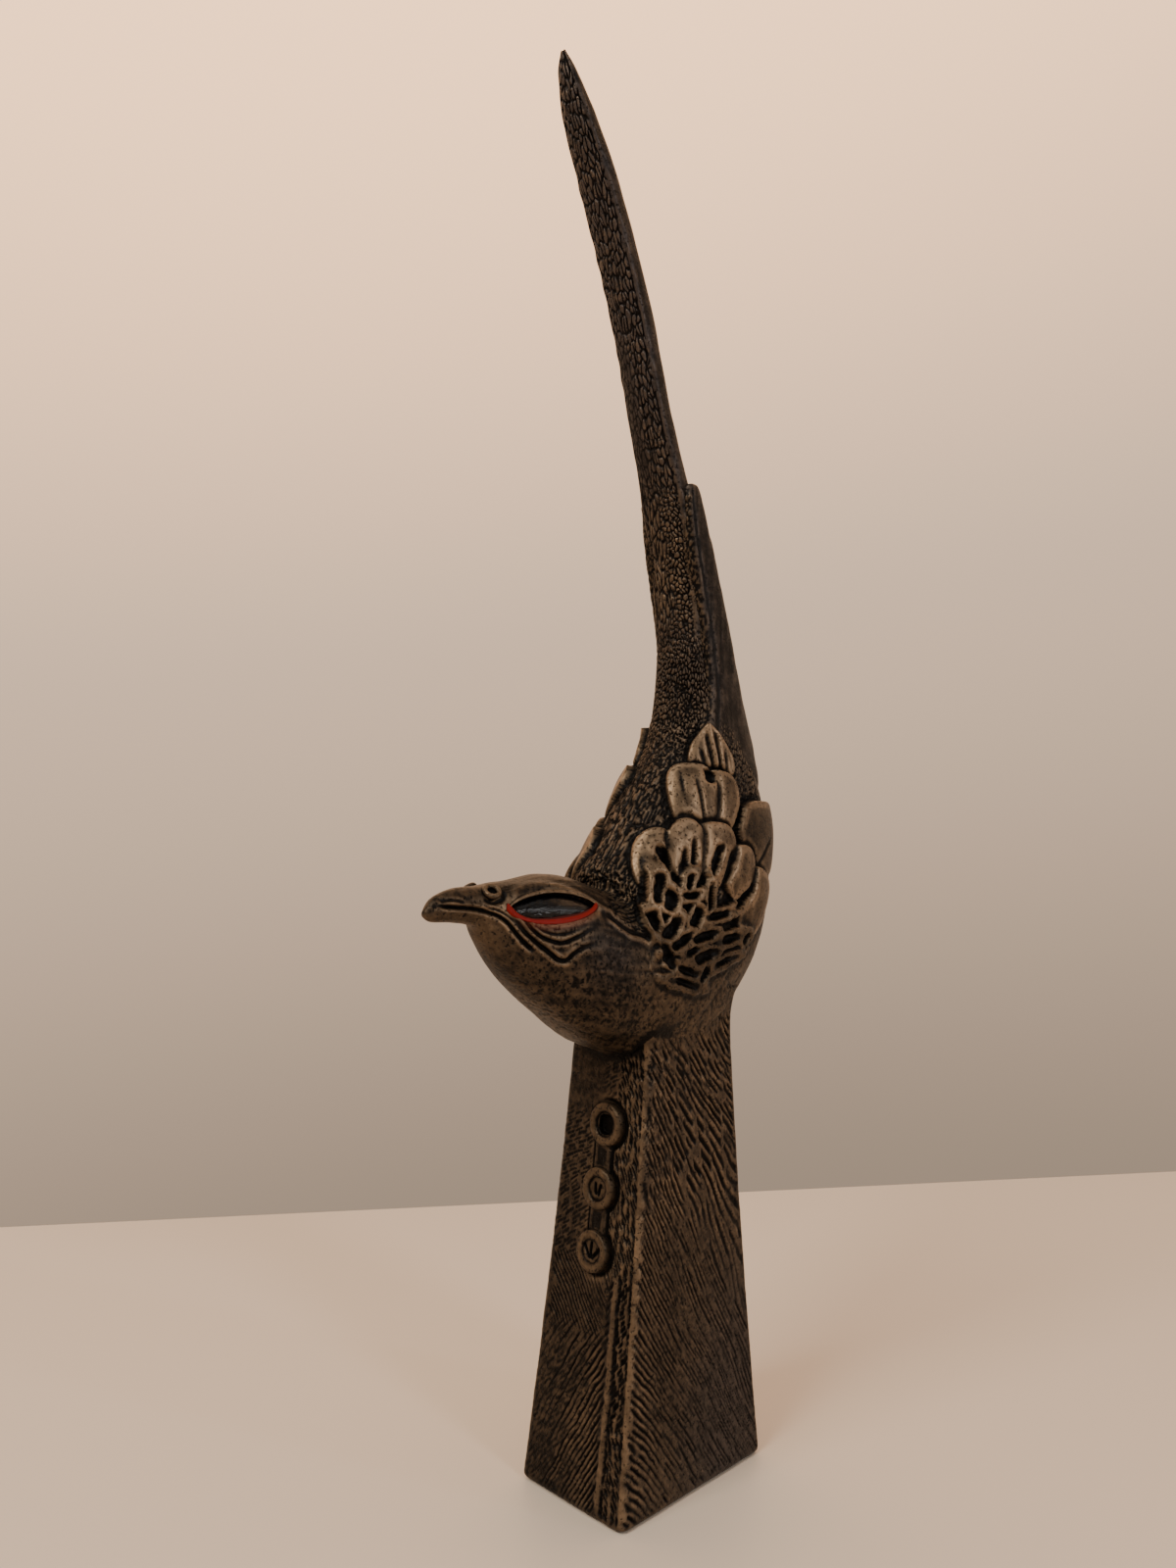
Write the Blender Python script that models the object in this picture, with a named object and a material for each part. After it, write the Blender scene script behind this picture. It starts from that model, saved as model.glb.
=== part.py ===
"""A magpie on a tapering feather-patterned column, cast in one piece, with inset eyes.

Run with: blender --background --python part.py
Metres, +Z up. The origin is the centre of the column's underside. The bird faces -Y, and
its left side is +X.
"""

import math
from collections import namedtuple

import bmesh
import bpy
from mathutils import Matrix, Vector
from mathutils.bvhtree import BVHTree

# Column
COLUMN_HEIGHT = 0.124
BASE_WIDTH = 0.0390
BASE_DEPTH = 0.0614
TOP_WIDTH = 0.0266
TOP_DEPTH = 0.0394
COLUMN_FLARE = 1.25
COLUMN_EDGE_RADIUS = 0.0022
COLUMN_INTO_BIRD = 0.012
COLUMN_LEVELS = 7
COLUMN_CORNER_STEPS = 3

# Barbs cut into the column's faces, on both sides of the shafts
SHAFT_ACROSS = 0.0096
SHAFT_RADIUS = 0.0011
SHAFT_TIP_SHARE = 0.6
SHAFT_SIDES = 8
SHAFT_LOW = 0.004
SHAFT_BELOW_TOP = 0.060
BARB_PITCH = 0.0034
BARB_WIDTH = 0.0012
BARB_DEPTH = 0.0006
BARB_END = 0.004
SIDE_BARB_LENGTH = 0.030
SIDE_BARB_SLOPE = math.radians(40)
END_BARB_LENGTH = 0.019
END_BARB_SLOPE = math.radians(52)

# Trinkets on the column's front: a strap and three round ones
DISC_ACROSS = 0.0005
DISCS_BELOW_TOP = (0.0233, 0.0409, 0.0577)
DISC_DIAMETERS = (0.0135, 0.0123, 0.0116)
DISC_HOLES = (0.0046, 0.0, 0.0)
DISC_PROUD = 0.0020
DISC_DISH = 0.0009
DISC_RIM_SHARE = 0.44
DISC_RIM_STEPS = 4
DISC_HOLE_DEPTH = 0.0007
DISC_SEGMENTS = 16
STRAP_WIDTH = 0.0060
STRAP_PROUD = 0.0008

# Bird, from the column's top to the tip of the tail
BIRD_HEIGHT = 0.276

# Body loft
RINGS_PER_SPAN = 2
BODY_SEGMENTS = 26
SKIN_RINGS_PER_SPAN = 8
SKIN_SEGMENTS = 96

# Where a feather or a blade is sunk, so that it joins the body
SINK = 0.0012

# The most triangles kept after joining, and the distance within which points are one
TRIANGLE_BUDGET = 8800
WELD = 0.00002

# Eyes, whose place and outline are shares of the bird's height
EYE_FORWARD_SHARE = 0.1920
EYE_UP_SHARE = 0.1406
EYE_LENGTH_SHARE = 0.0949
EYE_HEIGHT_SHARE = 0.0297
EYE_DROP_TO_BACK = math.radians(5)
EYE_SHARPNESS = 1.5
EYE_DEPTH = 0.0034
EYE_RIM_BELOW_SKIN = 0.0018
EYE_BULGE = 0.0016
EYE_POINTS = 20
EYE_RINGS = 3
FIT_GAP = 0.0003

# Nostrils
NOSTRIL_FORWARD_SHARE = 0.2475
NOSTRIL_ACROSS_SHARE = 0.0145
NOSTRIL_RADIUS = 0.0021
NOSTRIL_RIM_RADIUS = 0.0009
NOSTRIL_SEGMENTS = 14
NOSTRIL_SIDES = 6

# Mouth
MOUTH_GROOVE_WIDTH = 0.0009
MOUTH_GROOVE_DEPTH = 0.0006
MOUTH_POINTS = 12

# The middle of the body, which the feathers stand round
AXIS_BACKWARD_SHARE = 0.029

Station = namedtuple("Station",
                     "place dorsal ventral half_width back_square breast_square side_square")

# Where the back line and the breast line lie, as (forward, up) shares of the bird's height
# from the centre of the column's top, and the half width there. The squareness is 2 for an
# ellipse and more for a flatter side.
STATIONS = [
    Station("beak tip", (0.3130, 0.1365), (0.3122, 0.1305), 0.0030, 2.0, 2.0, 2.0),
    Station("beak hook", (0.3035, 0.1480), (0.3040, 0.1265), 0.0088, 2.0, 2.0, 2.0),
    Station("beak middle", (0.2820, 0.1560), (0.2810, 0.1253), 0.0130, 2.0, 2.0, 2.0),
    Station("beak base", (0.2536, 0.1585), (0.2575, 0.1207), 0.0181, 2.0, 2.0, 2.2),
    Station("nostril", (0.2337, 0.1615), (0.2455, 0.1040), 0.0261, 2.0, 2.0, 2.2),
    Station("forehead", (0.2101, 0.1645), (0.2255, 0.0800), 0.0370, 2.0, 2.0, 2.2),
    Station("eye", (0.1812, 0.1690), (0.1985, 0.0562), 0.0500, 2.1, 2.0, 2.2),
    Station("hind crown", (0.1504, 0.1675), (0.1595, 0.0290), 0.0620, 2.1, 2.0, 2.2),
    Station("nape top", (0.1196, 0.1590), (0.1100, -0.0015), 0.0690, 2.1, 2.0, 2.2),
    Station("nape hollow", (0.0960, 0.1540), (0.0435, -0.0181), 0.0725, 2.2, 2.0, 2.2),
    Station("low back", (0.0930, 0.1742), (-0.0240, -0.0181), 0.0745, 2.5, 2.0, 2.2),
    Station("shoulder", (0.0705, 0.2029), (-0.0780, 0.0109), 0.0755, 2.6, 2.1, 2.2),
    Station("back", (0.0470, 0.2391), (-0.1290, 0.0652), 0.0750, 2.5, 2.4, 2.2),
    Station("high back", (0.0210, 0.2754), (-0.1510, 0.1304), 0.0710, 2.4, 2.7, 2.2),
    Station("rump", (-0.0010, 0.3116), (-0.1510, 0.2029), 0.0625, 2.3, 2.9, 2.2),
    Station("tail root", (-0.0127, 0.3514), (-0.1290, 0.2862), 0.0500, 2.3, 3.0, 2.3),
    Station("under coverts", (-0.0145, 0.4058), (-0.0960, 0.3696), 0.0360, 2.8, 2.8, 2.6),
    Station("low tail", (-0.0109, 0.4638), (-0.0700, 0.4420), 0.0320, 3.0, 3.0, 2.8),
    Station("wing tips", (-0.0010, 0.5217), (-0.0460, 0.5109), 0.0300, 3.0, 3.0, 2.8),
    Station("tail", (0.0170, 0.5906), (-0.0170, 0.5833), 0.0295, 3.0, 3.0, 2.8),
    Station("mid tail", (0.0420, 0.6630), (0.0110, 0.6594), 0.0255, 3.0, 3.0, 2.8),
    Station("high tail", (0.0780, 0.7681), (0.0470, 0.7681), 0.0235, 3.0, 3.0, 2.8),
    Station("upper tail", (0.1215, 0.8659), (0.0930, 0.8696), 0.0225, 2.8, 2.8, 2.6),
    Station("tail end", (0.1530, 0.9275), (0.1290, 0.9348), 0.0190, 2.6, 2.6, 2.4),
    Station("tail point", (0.1710, 0.9728), (0.1560, 0.9783), 0.0115, 2.2, 2.2, 2.2),
    Station("tail tip", (0.1735, 0.9982), (0.1700, 1.0000), 0.0020, 2.0, 2.0, 2.0),
]

WingStation = namedtuple("WingStation", "up front rear outer")

# The long wing feathers that clasp the tail: shares of the bird's height, forward positive
WING_STATIONS = [
    WingStation(0.5925, -0.0050, -0.0150, 0.0330),
    WingStation(0.5870, 0.0010, -0.0210, 0.0362),
    WingStation(0.5616, 0.0000, -0.0310, 0.0378),
    WingStation(0.5217, -0.0060, -0.0480, 0.0384),
    WingStation(0.4783, -0.0170, -0.0640, 0.0392),
    WingStation(0.4275, -0.0290, -0.0825, 0.0402),
    WingStation(0.3732, -0.0340, -0.0990, 0.0424),
    WingStation(0.3297, -0.0230, -0.1120, 0.0475),
    WingStation(0.2754, -0.0050, -0.1230, 0.0545),
    WingStation(0.2400, 0.0020, -0.1190, 0.0490),
]
WING_INNER_SHARE = 0.0090
WING_SQUARE = 3.2
WING_SEGMENTS = 16

FeatherRow = namedtuple("FeatherRow", "tip_up azimuth step count length width taper lift")

# The wing's small feathers, tips up. The azimuth is measured round the body's middle, in
# degrees from straight out to the side, negative towards the head. Shares of the bird's
# height again. A positive taper makes a pointed tip, and a negative one a round, broad tip.
BIG_FEATHERS = [
    FeatherRow(0.3380, -5, 0, 1, 0.0640, 0.0470, 0.34, 0.0085),
    FeatherRow(0.2900, -38, 37, 2, 0.0640, 0.0500, -0.16, 0.0092),
    FeatherRow(0.2560, 46, 0, 1, 0.0860, 0.0600, -0.10, 0.0085),
    FeatherRow(0.2200, -63, 21, 2, 0.0560, 0.0360, -0.22, 0.0085),
    FeatherRow(0.2130, -17, 33, 2, 0.0600, 0.0390, -0.22, 0.0085),
]
SMALL_FEATHERS = [
    FeatherRow(0.1740, -59, 18, 4, 0.0380, 0.0270, -0.20, 0.0074),
    FeatherRow(0.1640, 13, 24, 2, 0.0440, 0.0320, -0.16, 0.0074),
    FeatherRow(0.1540, -51, 19, 4, 0.0350, 0.0260, -0.20, 0.0072),
    FeatherRow(0.1340, -59, 19, 4, 0.0330, 0.0250, -0.20, 0.0070),
    FeatherRow(0.1150, -50, 18, 3, 0.0300, 0.0235, -0.20, 0.0066),
    FeatherRow(0.0970, -43, 18, 3, 0.0280, 0.0220, -0.20, 0.0060),
    FeatherRow(0.0800, -36, 17, 2, 0.0260, 0.0205, -0.20, 0.0056),
    FeatherRow(0.0650, -29, 17, 1, 0.0240, 0.0190, -0.20, 0.0050),
]
FEATHER_BASE_LIFT = 0.0022
BIG_FEATHER_POINTS = 12
SMALL_FEATHER_POINTS = 8
FEATHER_FOOT_SHARE = 0.9
FEATHER_MIDDLE_SHARE = 0.62
FEATHER_CROWN = 0.0028
FEATHER_HOLLOW = -0.0042

# The mouth line along the side of the beak, as (forward, up) shares of the bird's height
MOUTH_LINE_SHARES = [
    (0.3050, 0.1352), (0.2830, 0.1375), (0.2600, 0.1340), (0.2261, 0.1091), (0.2091, 0.0928),
]


def material(name, colour, roughness, metallic):
    """A Principled BSDF in one colour."""
    made = bpy.data.materials.new(name)
    made.use_nodes = True
    shader = made.node_tree.nodes["Principled BSDF"]
    shader.inputs["Base Color"].default_value = (*colour, 1.0)
    shader.inputs["Roughness"].default_value = roughness
    shader.inputs["Metallic"].default_value = metallic
    return made


def smooth_between(values, t):
    """A Catmull-Rom curve through values at t = 0, 1, 2 and so on."""
    last = len(values) - 1
    i = min(int(t), last - 1)
    f = t - i
    before, here = values[max(i - 1, 0)], values[i]
    after, beyond = values[i + 1], values[min(i + 2, last)]
    return here + 0.5 * f * (
        after - before
        + f * (2 * before - 5 * here + 4 * after - beyond
               + f * (3 * (here - after) + beyond - before))
    )


def power(value, exponent):
    return math.copysign(abs(value) ** exponent, value)


def bird_point(across, forward, up):
    """A place given as shares of the bird's height from the centre of the column's top."""
    return Vector((across, -forward, up)) * BIRD_HEIGHT + Vector((0, 0, COLUMN_HEIGHT))


def body_point(t, angle):
    """A point of the bird's skin: t runs along the stations, and angle turns from the back
    line (0) over the left side (90 degrees) to the breast line (180)."""
    def at(pick):
        return smooth_between([pick(s) for s in STATIONS], t)

    back = bird_point(0, at(lambda s: s.dorsal[0]), at(lambda s: s.dorsal[1]))
    breast = bird_point(0, at(lambda s: s.ventral[0]), at(lambda s: s.ventral[1]))
    upper = math.cos(angle) > 0
    square = at(lambda s: s.back_square) if upper else at(lambda s: s.breast_square)
    point = (back + breast) / 2 + (back - breast) / 2 * power(math.cos(angle), 2 / square)
    half_width = at(lambda s: s.half_width) * BIRD_HEIGHT
    point.x = half_width * power(math.sin(angle), 2 / at(lambda s: s.side_square))
    return point


def new_object(name, mesh):
    """Turn a bmesh with its faces pointing out into an object."""
    bmesh.ops.recalc_face_normals(mesh, faces=mesh.faces)
    data = bpy.data.meshes.new(name)
    mesh.to_mesh(data)
    mesh.free()
    return bpy.data.objects.new(name, data)


def loft(name, rings):
    """A closed solid through rings of equally many points, with flat ends."""
    mesh = bmesh.new()
    rows = [[mesh.verts.new(p) for p in ring] for ring in rings]
    count = len(rows[0])
    for low, high in zip(rows, rows[1:]):
        for i in range(count):
            j = (i + 1) % count
            mesh.faces.new((low[i], low[j], high[j], high[i]))
    mesh.faces.new(list(reversed(rows[0])))
    mesh.faces.new(rows[-1])
    return new_object(name, mesh)


def make_body(name, rings_per_span, segments):
    spans = len(STATIONS) - 1
    return loft(name, [
        [body_point(i / rings_per_span, math.tau * k / segments) for k in range(segments)]
        for i in range(spans * rings_per_span + 1)
    ])


def skin_of(objects):
    """A tree of the objects' faces, to be hit by lines."""
    places, faces = [], []
    for obj in objects:
        first = len(places)
        places += [v.co.copy() for v in obj.data.vertices]
        faces += [tuple(first + i for i in p.vertices) for p in obj.data.polygons]
        bpy.data.objects.remove(obj)
    return BVHTree.FromPolygons(places, faces)


def hit(skin, start, direction):
    point, normal, _, _ = skin.ray_cast(start, direction)
    return point, normal


def column_size(height):
    """The column's width and depth at a height."""
    share = max(0.0, 1 - height / (COLUMN_HEIGHT + COLUMN_INTO_BIRD)) ** COLUMN_FLARE
    return (TOP_WIDTH + (BASE_WIDTH - TOP_WIDTH) * share,
            TOP_DEPTH + (BASE_DEPTH - TOP_DEPTH) * share)


def make_column():
    top = COLUMN_HEIGHT + COLUMN_INTO_BIRD
    rings = []
    for level in range(COLUMN_LEVELS + 1):
        height = top * level / COLUMN_LEVELS
        width, depth = column_size(height)
        ring = []
        for corner, (sx, sy) in enumerate(((1, 1), (-1, 1), (-1, -1), (1, -1))):
            centre = Vector((sx * (width / 2 - COLUMN_EDGE_RADIUS), sy * (depth / 2 - COLUMN_EDGE_RADIUS),
                             height))
            for step in range(COLUMN_CORNER_STEPS + 1):
                angle = math.pi / 2 * (corner + step / COLUMN_CORNER_STEPS)
                ring.append(centre + COLUMN_EDGE_RADIUS * Vector((math.cos(angle), math.sin(angle), 0)))
        rings.append(ring)
    return loft("magpie_on_column", rings)


def make_wing(side):
    """The long wing feathers of one side, from inside the body to their round tip."""
    rings = []
    for station in WING_STATIONS:
        middle = (station.front + station.rear) / 2
        depth = (station.front - station.rear) / 2
        across = (station.outer + WING_INNER_SHARE) / 2
        half = (station.outer - WING_INNER_SHARE) / 2
        ring = []
        for k in range(WING_SEGMENTS):
            angle = math.tau * k / WING_SEGMENTS
            x = across + half * power(math.cos(angle), 2 / WING_SQUARE)
            forward = middle + depth * power(math.sin(angle), 2 / WING_SQUARE)
            ring.append(bird_point(side * x, forward, station.up))
        rings.append(ring)
    return loft("wing", rings)


def make_feather(skin, row, azimuth, side, points, crown):
    """A closed blade on the flank. Its rim is lifted more and more towards the tip. Its
    middle is higher than the rim where the crown is positive, and hollow where it's negative."""
    length = row.length * BIRD_HEIGHT
    width = row.width * BIRD_HEIGHT
    tip = COLUMN_HEIGHT + row.tip_up * BIRD_HEIGHT

    def outermost(middle, turn):
        out = Vector((side * math.cos(turn), math.sin(turn), 0))
        return hit(skin, middle + out * BIRD_HEIGHT, -out)

    def place(across, along, lift):
        middle = Vector((0, AXIS_BACKWARD_SHARE * BIRD_HEIGHT, tip - length * along))
        radius = (outermost(middle, azimuth)[0] - middle).length
        point, normal = outermost(middle, azimuth + across / radius)
        return point + normal * lift

    def ring(scale, extra):
        made = []
        for k in range(points):
            angle = math.tau * k / points
            along = 0.5 - 0.5 * scale * math.cos(angle)
            across = width / 2 * scale * math.sin(angle) * (1 - row.taper * math.cos(angle))
            lift = BIRD_HEIGHT * (FEATHER_BASE_LIFT + (row.lift - FEATHER_BASE_LIFT) * (1 - along) + extra)
            made.append((across, along, lift))
        return made

    mesh = bmesh.new()
    low = [mesh.verts.new(place(u, v, -SINK)) for u, v, _ in ring(FEATHER_FOOT_SHARE, 0)]
    rim = [mesh.verts.new(place(*p)) for p in ring(1.0, 0)]
    inner = [mesh.verts.new(place(*p)) for p in ring(FEATHER_MIDDLE_SHARE, crown)]
    for first, second in ((low, rim), (rim, inner)):
        for i in range(points):
            j = (i + 1) % points
            mesh.faces.new((first[i], first[j], second[j], second[i]))
    mesh.faces.new(low)
    mesh.faces.new(inner)
    return new_object("feather", mesh)


def make_feathers(skin):
    made = []
    for side in (1, -1):
        for rows, points, crown in ((BIG_FEATHERS, BIG_FEATHER_POINTS, FEATHER_CROWN),
                                    (SMALL_FEATHERS, SMALL_FEATHER_POINTS, FEATHER_HOLLOW)):
            for row in rows:
                for k in range(row.count):
                    azimuth = math.radians(row.azimuth + k * row.step)
                    made.append(make_feather(skin, row, azimuth, side, points, crown))
    return made


def frame_on(point, normal, upward=Vector((0, 0, 1))):
    """A matrix with its Z axis along the normal and its Y axis as near upward as can be."""
    z = normal.normalized()
    x = upward.cross(z).normalized()
    y = z.cross(x)
    return Matrix.Translation(point) @ Matrix((x, y, z)).transposed().to_4x4()


def column_frame(across, height):
    """A frame on the column's front face."""
    step = 0.001
    here = Vector((across, -column_size(height)[1] / 2, height))
    above = Vector((across, -column_size(height + step)[1] / 2, height + step))
    along = above - here
    return frame_on(here, Vector((1, 0, 0)).cross(along))


def make_disc(height, diameter, hole):
    """A round trinket: a rounded rim round a dished middle, with a hole in it or without."""
    radius = diameter / 2
    rim = radius * DISC_RIM_SHARE / 2
    floor = DISC_PROUD - DISC_DISH
    profile = [(0, -SINK), (radius, -SINK)]
    for step in range(DISC_RIM_STEPS + 1):
        angle = math.pi * step / DISC_RIM_STEPS
        profile.append((radius - rim + rim * math.cos(angle), floor + DISC_DISH * math.sin(angle)))
    if hole:
        profile += [(hole / 2, floor), (hole / 2, floor - DISC_HOLE_DEPTH), (0, floor - DISC_HOLE_DEPTH)]
    else:
        profile += [(0, floor)]
    mesh = bmesh.new()
    verts = [mesh.verts.new((r, 0, z)) for r, z in profile]
    edges = [mesh.edges.new(pair) for pair in zip(verts, verts[1:])]
    bmesh.ops.spin(mesh, geom=verts + edges, cent=(0, 0, 0), axis=(0, 0, 1), angle=math.tau,
                   steps=DISC_SEGMENTS, use_duplicate=False)
    bmesh.ops.remove_doubles(mesh, verts=mesh.verts, dist=WELD)
    mesh.transform(column_frame(DISC_ACROSS, height))
    return new_object("disc", mesh)


def make_strap():
    high, low = COLUMN_HEIGHT - DISCS_BELOW_TOP[0], COLUMN_HEIGHT - DISCS_BELOW_TOP[-1]
    mesh = bmesh.new()
    bmesh.ops.create_cube(mesh, size=1.0)
    for v in mesh.verts:
        across = DISC_ACROSS + STRAP_WIDTH * v.co.x
        frame = column_frame(across, high if v.co.y > 0 else low)
        v.co = frame @ Vector((0, 0, STRAP_PROUD if v.co.z > 0 else -SINK))
    return new_object("strap", mesh)


def make_shaft():
    """The feather shaft that stands up along the front face."""
    rings = []
    high = COLUMN_HEIGHT - SHAFT_BELOW_TOP
    for height, radius in ((SHAFT_LOW, SHAFT_RADIUS), (high / 2, SHAFT_RADIUS),
                           (high, SHAFT_RADIUS * SHAFT_TIP_SHARE)):
        frame = column_frame(SHAFT_ACROSS, height)
        turns = [math.tau * k / SHAFT_SIDES for k in range(SHAFT_SIDES)]
        rings.append([frame @ Vector((radius * math.cos(turn), 0, radius * math.sin(turn)))
                      for turn in turns])
    return loft("shaft", rings)


def make_mouth_cutter(skin, side):
    """A wedge along the mouth line, which comes out of the skin at both ends."""
    rings = []
    for i in range(MOUTH_POINTS):
        share = i / (MOUTH_POINTS - 1)
        t = (len(MOUTH_LINE_SHARES) - 1) * share
        forward = smooth_between([p[0] for p in MOUTH_LINE_SHARES], t)
        up = smooth_between([p[1] for p in MOUTH_LINE_SHARES], t)
        point, normal = hit(skin, bird_point(0, forward, up), Vector((side, 0, 0)))
        depth = MOUTH_GROOVE_DEPTH if 0 < i < MOUTH_POINTS - 1 else -MOUTH_GROOVE_DEPTH
        out = normal * (MOUTH_GROOVE_DEPTH + MOUTH_GROOVE_WIDTH)
        up_edge = Vector((0, 0, MOUTH_GROOVE_WIDTH))
        rings.append([point - normal * depth, point + out - up_edge, point + out + up_edge])
    return loft("mouth line", rings)


def make_nostril(skin, side):
    """A ring half sunk in the root of the beak."""
    above = bird_point(side * NOSTRIL_ACROSS_SHARE, NOSTRIL_FORWARD_SHARE, 1)
    point, normal = hit(skin, above, Vector((0, 0, -1)))
    frame = frame_on(point, normal, Vector((0, -1, 0)))
    mesh = bmesh.new()
    rows = []
    for i in range(NOSTRIL_SEGMENTS):
        turn = Matrix.Rotation(math.tau * i / NOSTRIL_SEGMENTS, 4, "Z")
        row = []
        for k in range(NOSTRIL_SIDES):
            angle = math.tau * k / NOSTRIL_SIDES
            rim = Vector((NOSTRIL_RADIUS + NOSTRIL_RIM_RADIUS * math.cos(angle), 0,
                          NOSTRIL_RIM_RADIUS * math.sin(angle)))
            row.append(mesh.verts.new(frame @ turn @ rim))
        rows.append(row)
    for here, there in zip(rows, rows[1:] + rows[:1]):
        for k in range(NOSTRIL_SIDES):
            j = (k + 1) % NOSTRIL_SIDES
            mesh.faces.new((here[k], here[j], there[j], there[k]))
    return new_object("nostril", mesh)


def eye_frame(skin, side):
    """A frame in the skin at the eye: X runs to the back corner, and Z points out."""
    middle = bird_point(0, EYE_FORWARD_SHARE, EYE_UP_SHARE)
    point, normal = hit(skin, middle, Vector((side, 0, 0)))
    back = Vector((0, math.cos(EYE_DROP_TO_BACK), -math.sin(EYE_DROP_TO_BACK)))
    x = (back - normal * back.dot(normal)).normalized()
    y = normal.cross(x)
    return Matrix.Translation(point) @ Matrix((x, y, normal)).transposed().to_4x4()


def almond(name, frame, length, height, front, back):
    """A closed almond: a flat back, and a front whose depth depends on the share from the rim."""
    mesh = bmesh.new()

    def ring(scale, depth):
        made = []
        for k in range(EYE_POINTS):
            angle = math.tau * k / EYE_POINTS
            x = length / 2 * math.cos(angle) * scale
            y = height / 2 * power(math.sin(angle), EYE_SHARPNESS) * scale
            made.append(mesh.verts.new(frame @ Vector((x, y, depth))))
        return made

    rows = [ring(1, back)] + [ring(1 - i / EYE_RINGS, front(1 - i / EYE_RINGS)) for i in range(EYE_RINGS)]
    for low, high in zip(rows, rows[1:]):
        for i in range(EYE_POINTS):
            j = (i + 1) % EYE_POINTS
            mesh.faces.new((low[i], low[j], high[j], high[i]))
    mesh.faces.new(rows[0])
    top = mesh.verts.new(frame @ Vector((0, 0, front(0))))
    for i in range(EYE_POINTS):
        mesh.faces.new((rows[-1][i], rows[-1][(i + 1) % EYE_POINTS], top))
    return new_object(name, mesh)


def make_eye(name, skin, side):
    return almond(name, eye_frame(skin, side), EYE_LENGTH_SHARE * BIRD_HEIGHT, EYE_HEIGHT_SHARE * BIRD_HEIGHT,
                  lambda share: EYE_BULGE * (1 - share ** 2) - EYE_RIM_BELOW_SKIN, -EYE_DEPTH)


def make_socket(skin, side):
    length = EYE_LENGTH_SHARE * BIRD_HEIGHT + 2 * FIT_GAP
    height = EYE_HEIGHT_SHARE * BIRD_HEIGHT + 2 * FIT_GAP
    return almond("socket", eye_frame(skin, side), length, height,
                  lambda share: EYE_DEPTH, -EYE_DEPTH - FIT_GAP)


def groove(mesh, start, end, normal):
    """A wedge along a line in a face, deepest at its start and running out at its end."""
    along = (end - start).normalized()
    across = along.cross(normal) * BARB_WIDTH / 2
    out = normal * BARB_DEPTH / 2
    verts = [mesh.verts.new(p) for p in (
        start - across + out, start + across + out, start - normal * BARB_DEPTH, end + out)]
    for face in ((0, 1, 2), (0, 3, 1), (1, 3, 2), (2, 3, 0)):
        mesh.faces.new([verts[i] for i in face])


def side_place(side, forward, height):
    return Vector((side * column_size(height)[0] / 2, -forward, height))


def end_place(end, across, height):
    return Vector((across, end * column_size(height)[1] / 2, height))


def barb_run(height, length, slope):
    """How far a barb runs out sideways, and the height that it comes down to."""
    low = max(height - length * math.sin(slope), BARB_END)
    return (height - low) / math.tan(slope), low


def make_barbs():
    """The grooves between the barbs of the feathers on the column's four faces."""
    mesh = bmesh.new()
    clear = SHAFT_RADIUS + BARB_WIDTH / 2
    for k in range(2, int(COLUMN_HEIGHT / BARB_PITCH)):
        height = BARB_PITCH * k
        width, depth = column_size(height)
        run, low = barb_run(height, SIDE_BARB_LENGTH, SIDE_BARB_SLOPE)
        for side in (1, -1):
            corner = depth / 2 - COLUMN_EDGE_RADIUS
            groove(mesh, side_place(side, corner, height), side_place(side, corner - run, low),
                   Vector((side, 0, 0)))
        run, low = barb_run(height, END_BARB_LENGTH, END_BARB_SLOPE)
        if height < COLUMN_HEIGHT - SHAFT_BELOW_TOP:
            left = SHAFT_ACROSS - clear
            groove(mesh, end_place(-1, left, height), end_place(-1, left - run, low), Vector((0, -1, 0)))
            right = SHAFT_ACROSS + clear
            reach = width / 2 - COLUMN_EDGE_RADIUS - right
            groove(mesh, end_place(-1, right, height), end_place(-1, right + reach, height - reach),
                   Vector((0, -1, 0)))
        if k % 2:
            for side in (1, -1):
                groove(mesh, end_place(1, side * clear, height), end_place(1, side * (clear + run), low),
                       Vector((0, 1, 0)))
    return new_object("barbs", mesh)


def changed(base, operation, others, name):
    """The base with the other solids added or cut away. The others are used up."""
    tools = bpy.data.collections.new(name)
    bpy.context.scene.collection.children.link(tools)
    for other in others:
        tools.objects.link(other)
    if base.name not in bpy.context.scene.collection.objects:
        bpy.context.scene.collection.objects.link(base)
    change = base.modifiers.new(name, "BOOLEAN")
    change.operation = operation
    change.operand_type = "COLLECTION"
    change.collection = tools
    change.solver = "EXACT"
    bpy.context.view_layer.update()
    data = bpy.data.meshes.new_from_object(base.evaluated_get(bpy.context.evaluated_depsgraph_get()))
    base.modifiers.clear()
    base.data = data
    bpy.context.scene.collection.objects.unlink(base)
    for other in others:
        bpy.data.objects.remove(other)
    bpy.data.collections.remove(tools)
    return base


def outer_shell(mesh):
    """Delete every shell but the largest: pockets closed in between overlapping feathers."""
    shells = []
    left = set(mesh.verts)
    while left:
        shell = {left.pop()}
        edge = list(shell)
        while edge:
            for link in edge.pop().link_edges:
                for v in link.verts:
                    if v in left:
                        left.remove(v)
                        shell.add(v)
                        edge.append(v)
        shells.append(shell)
    shells.sort(key=len)
    for shell in shells[:-1]:
        bmesh.ops.delete(mesh, geom=list(shell), context="VERTS")


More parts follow.
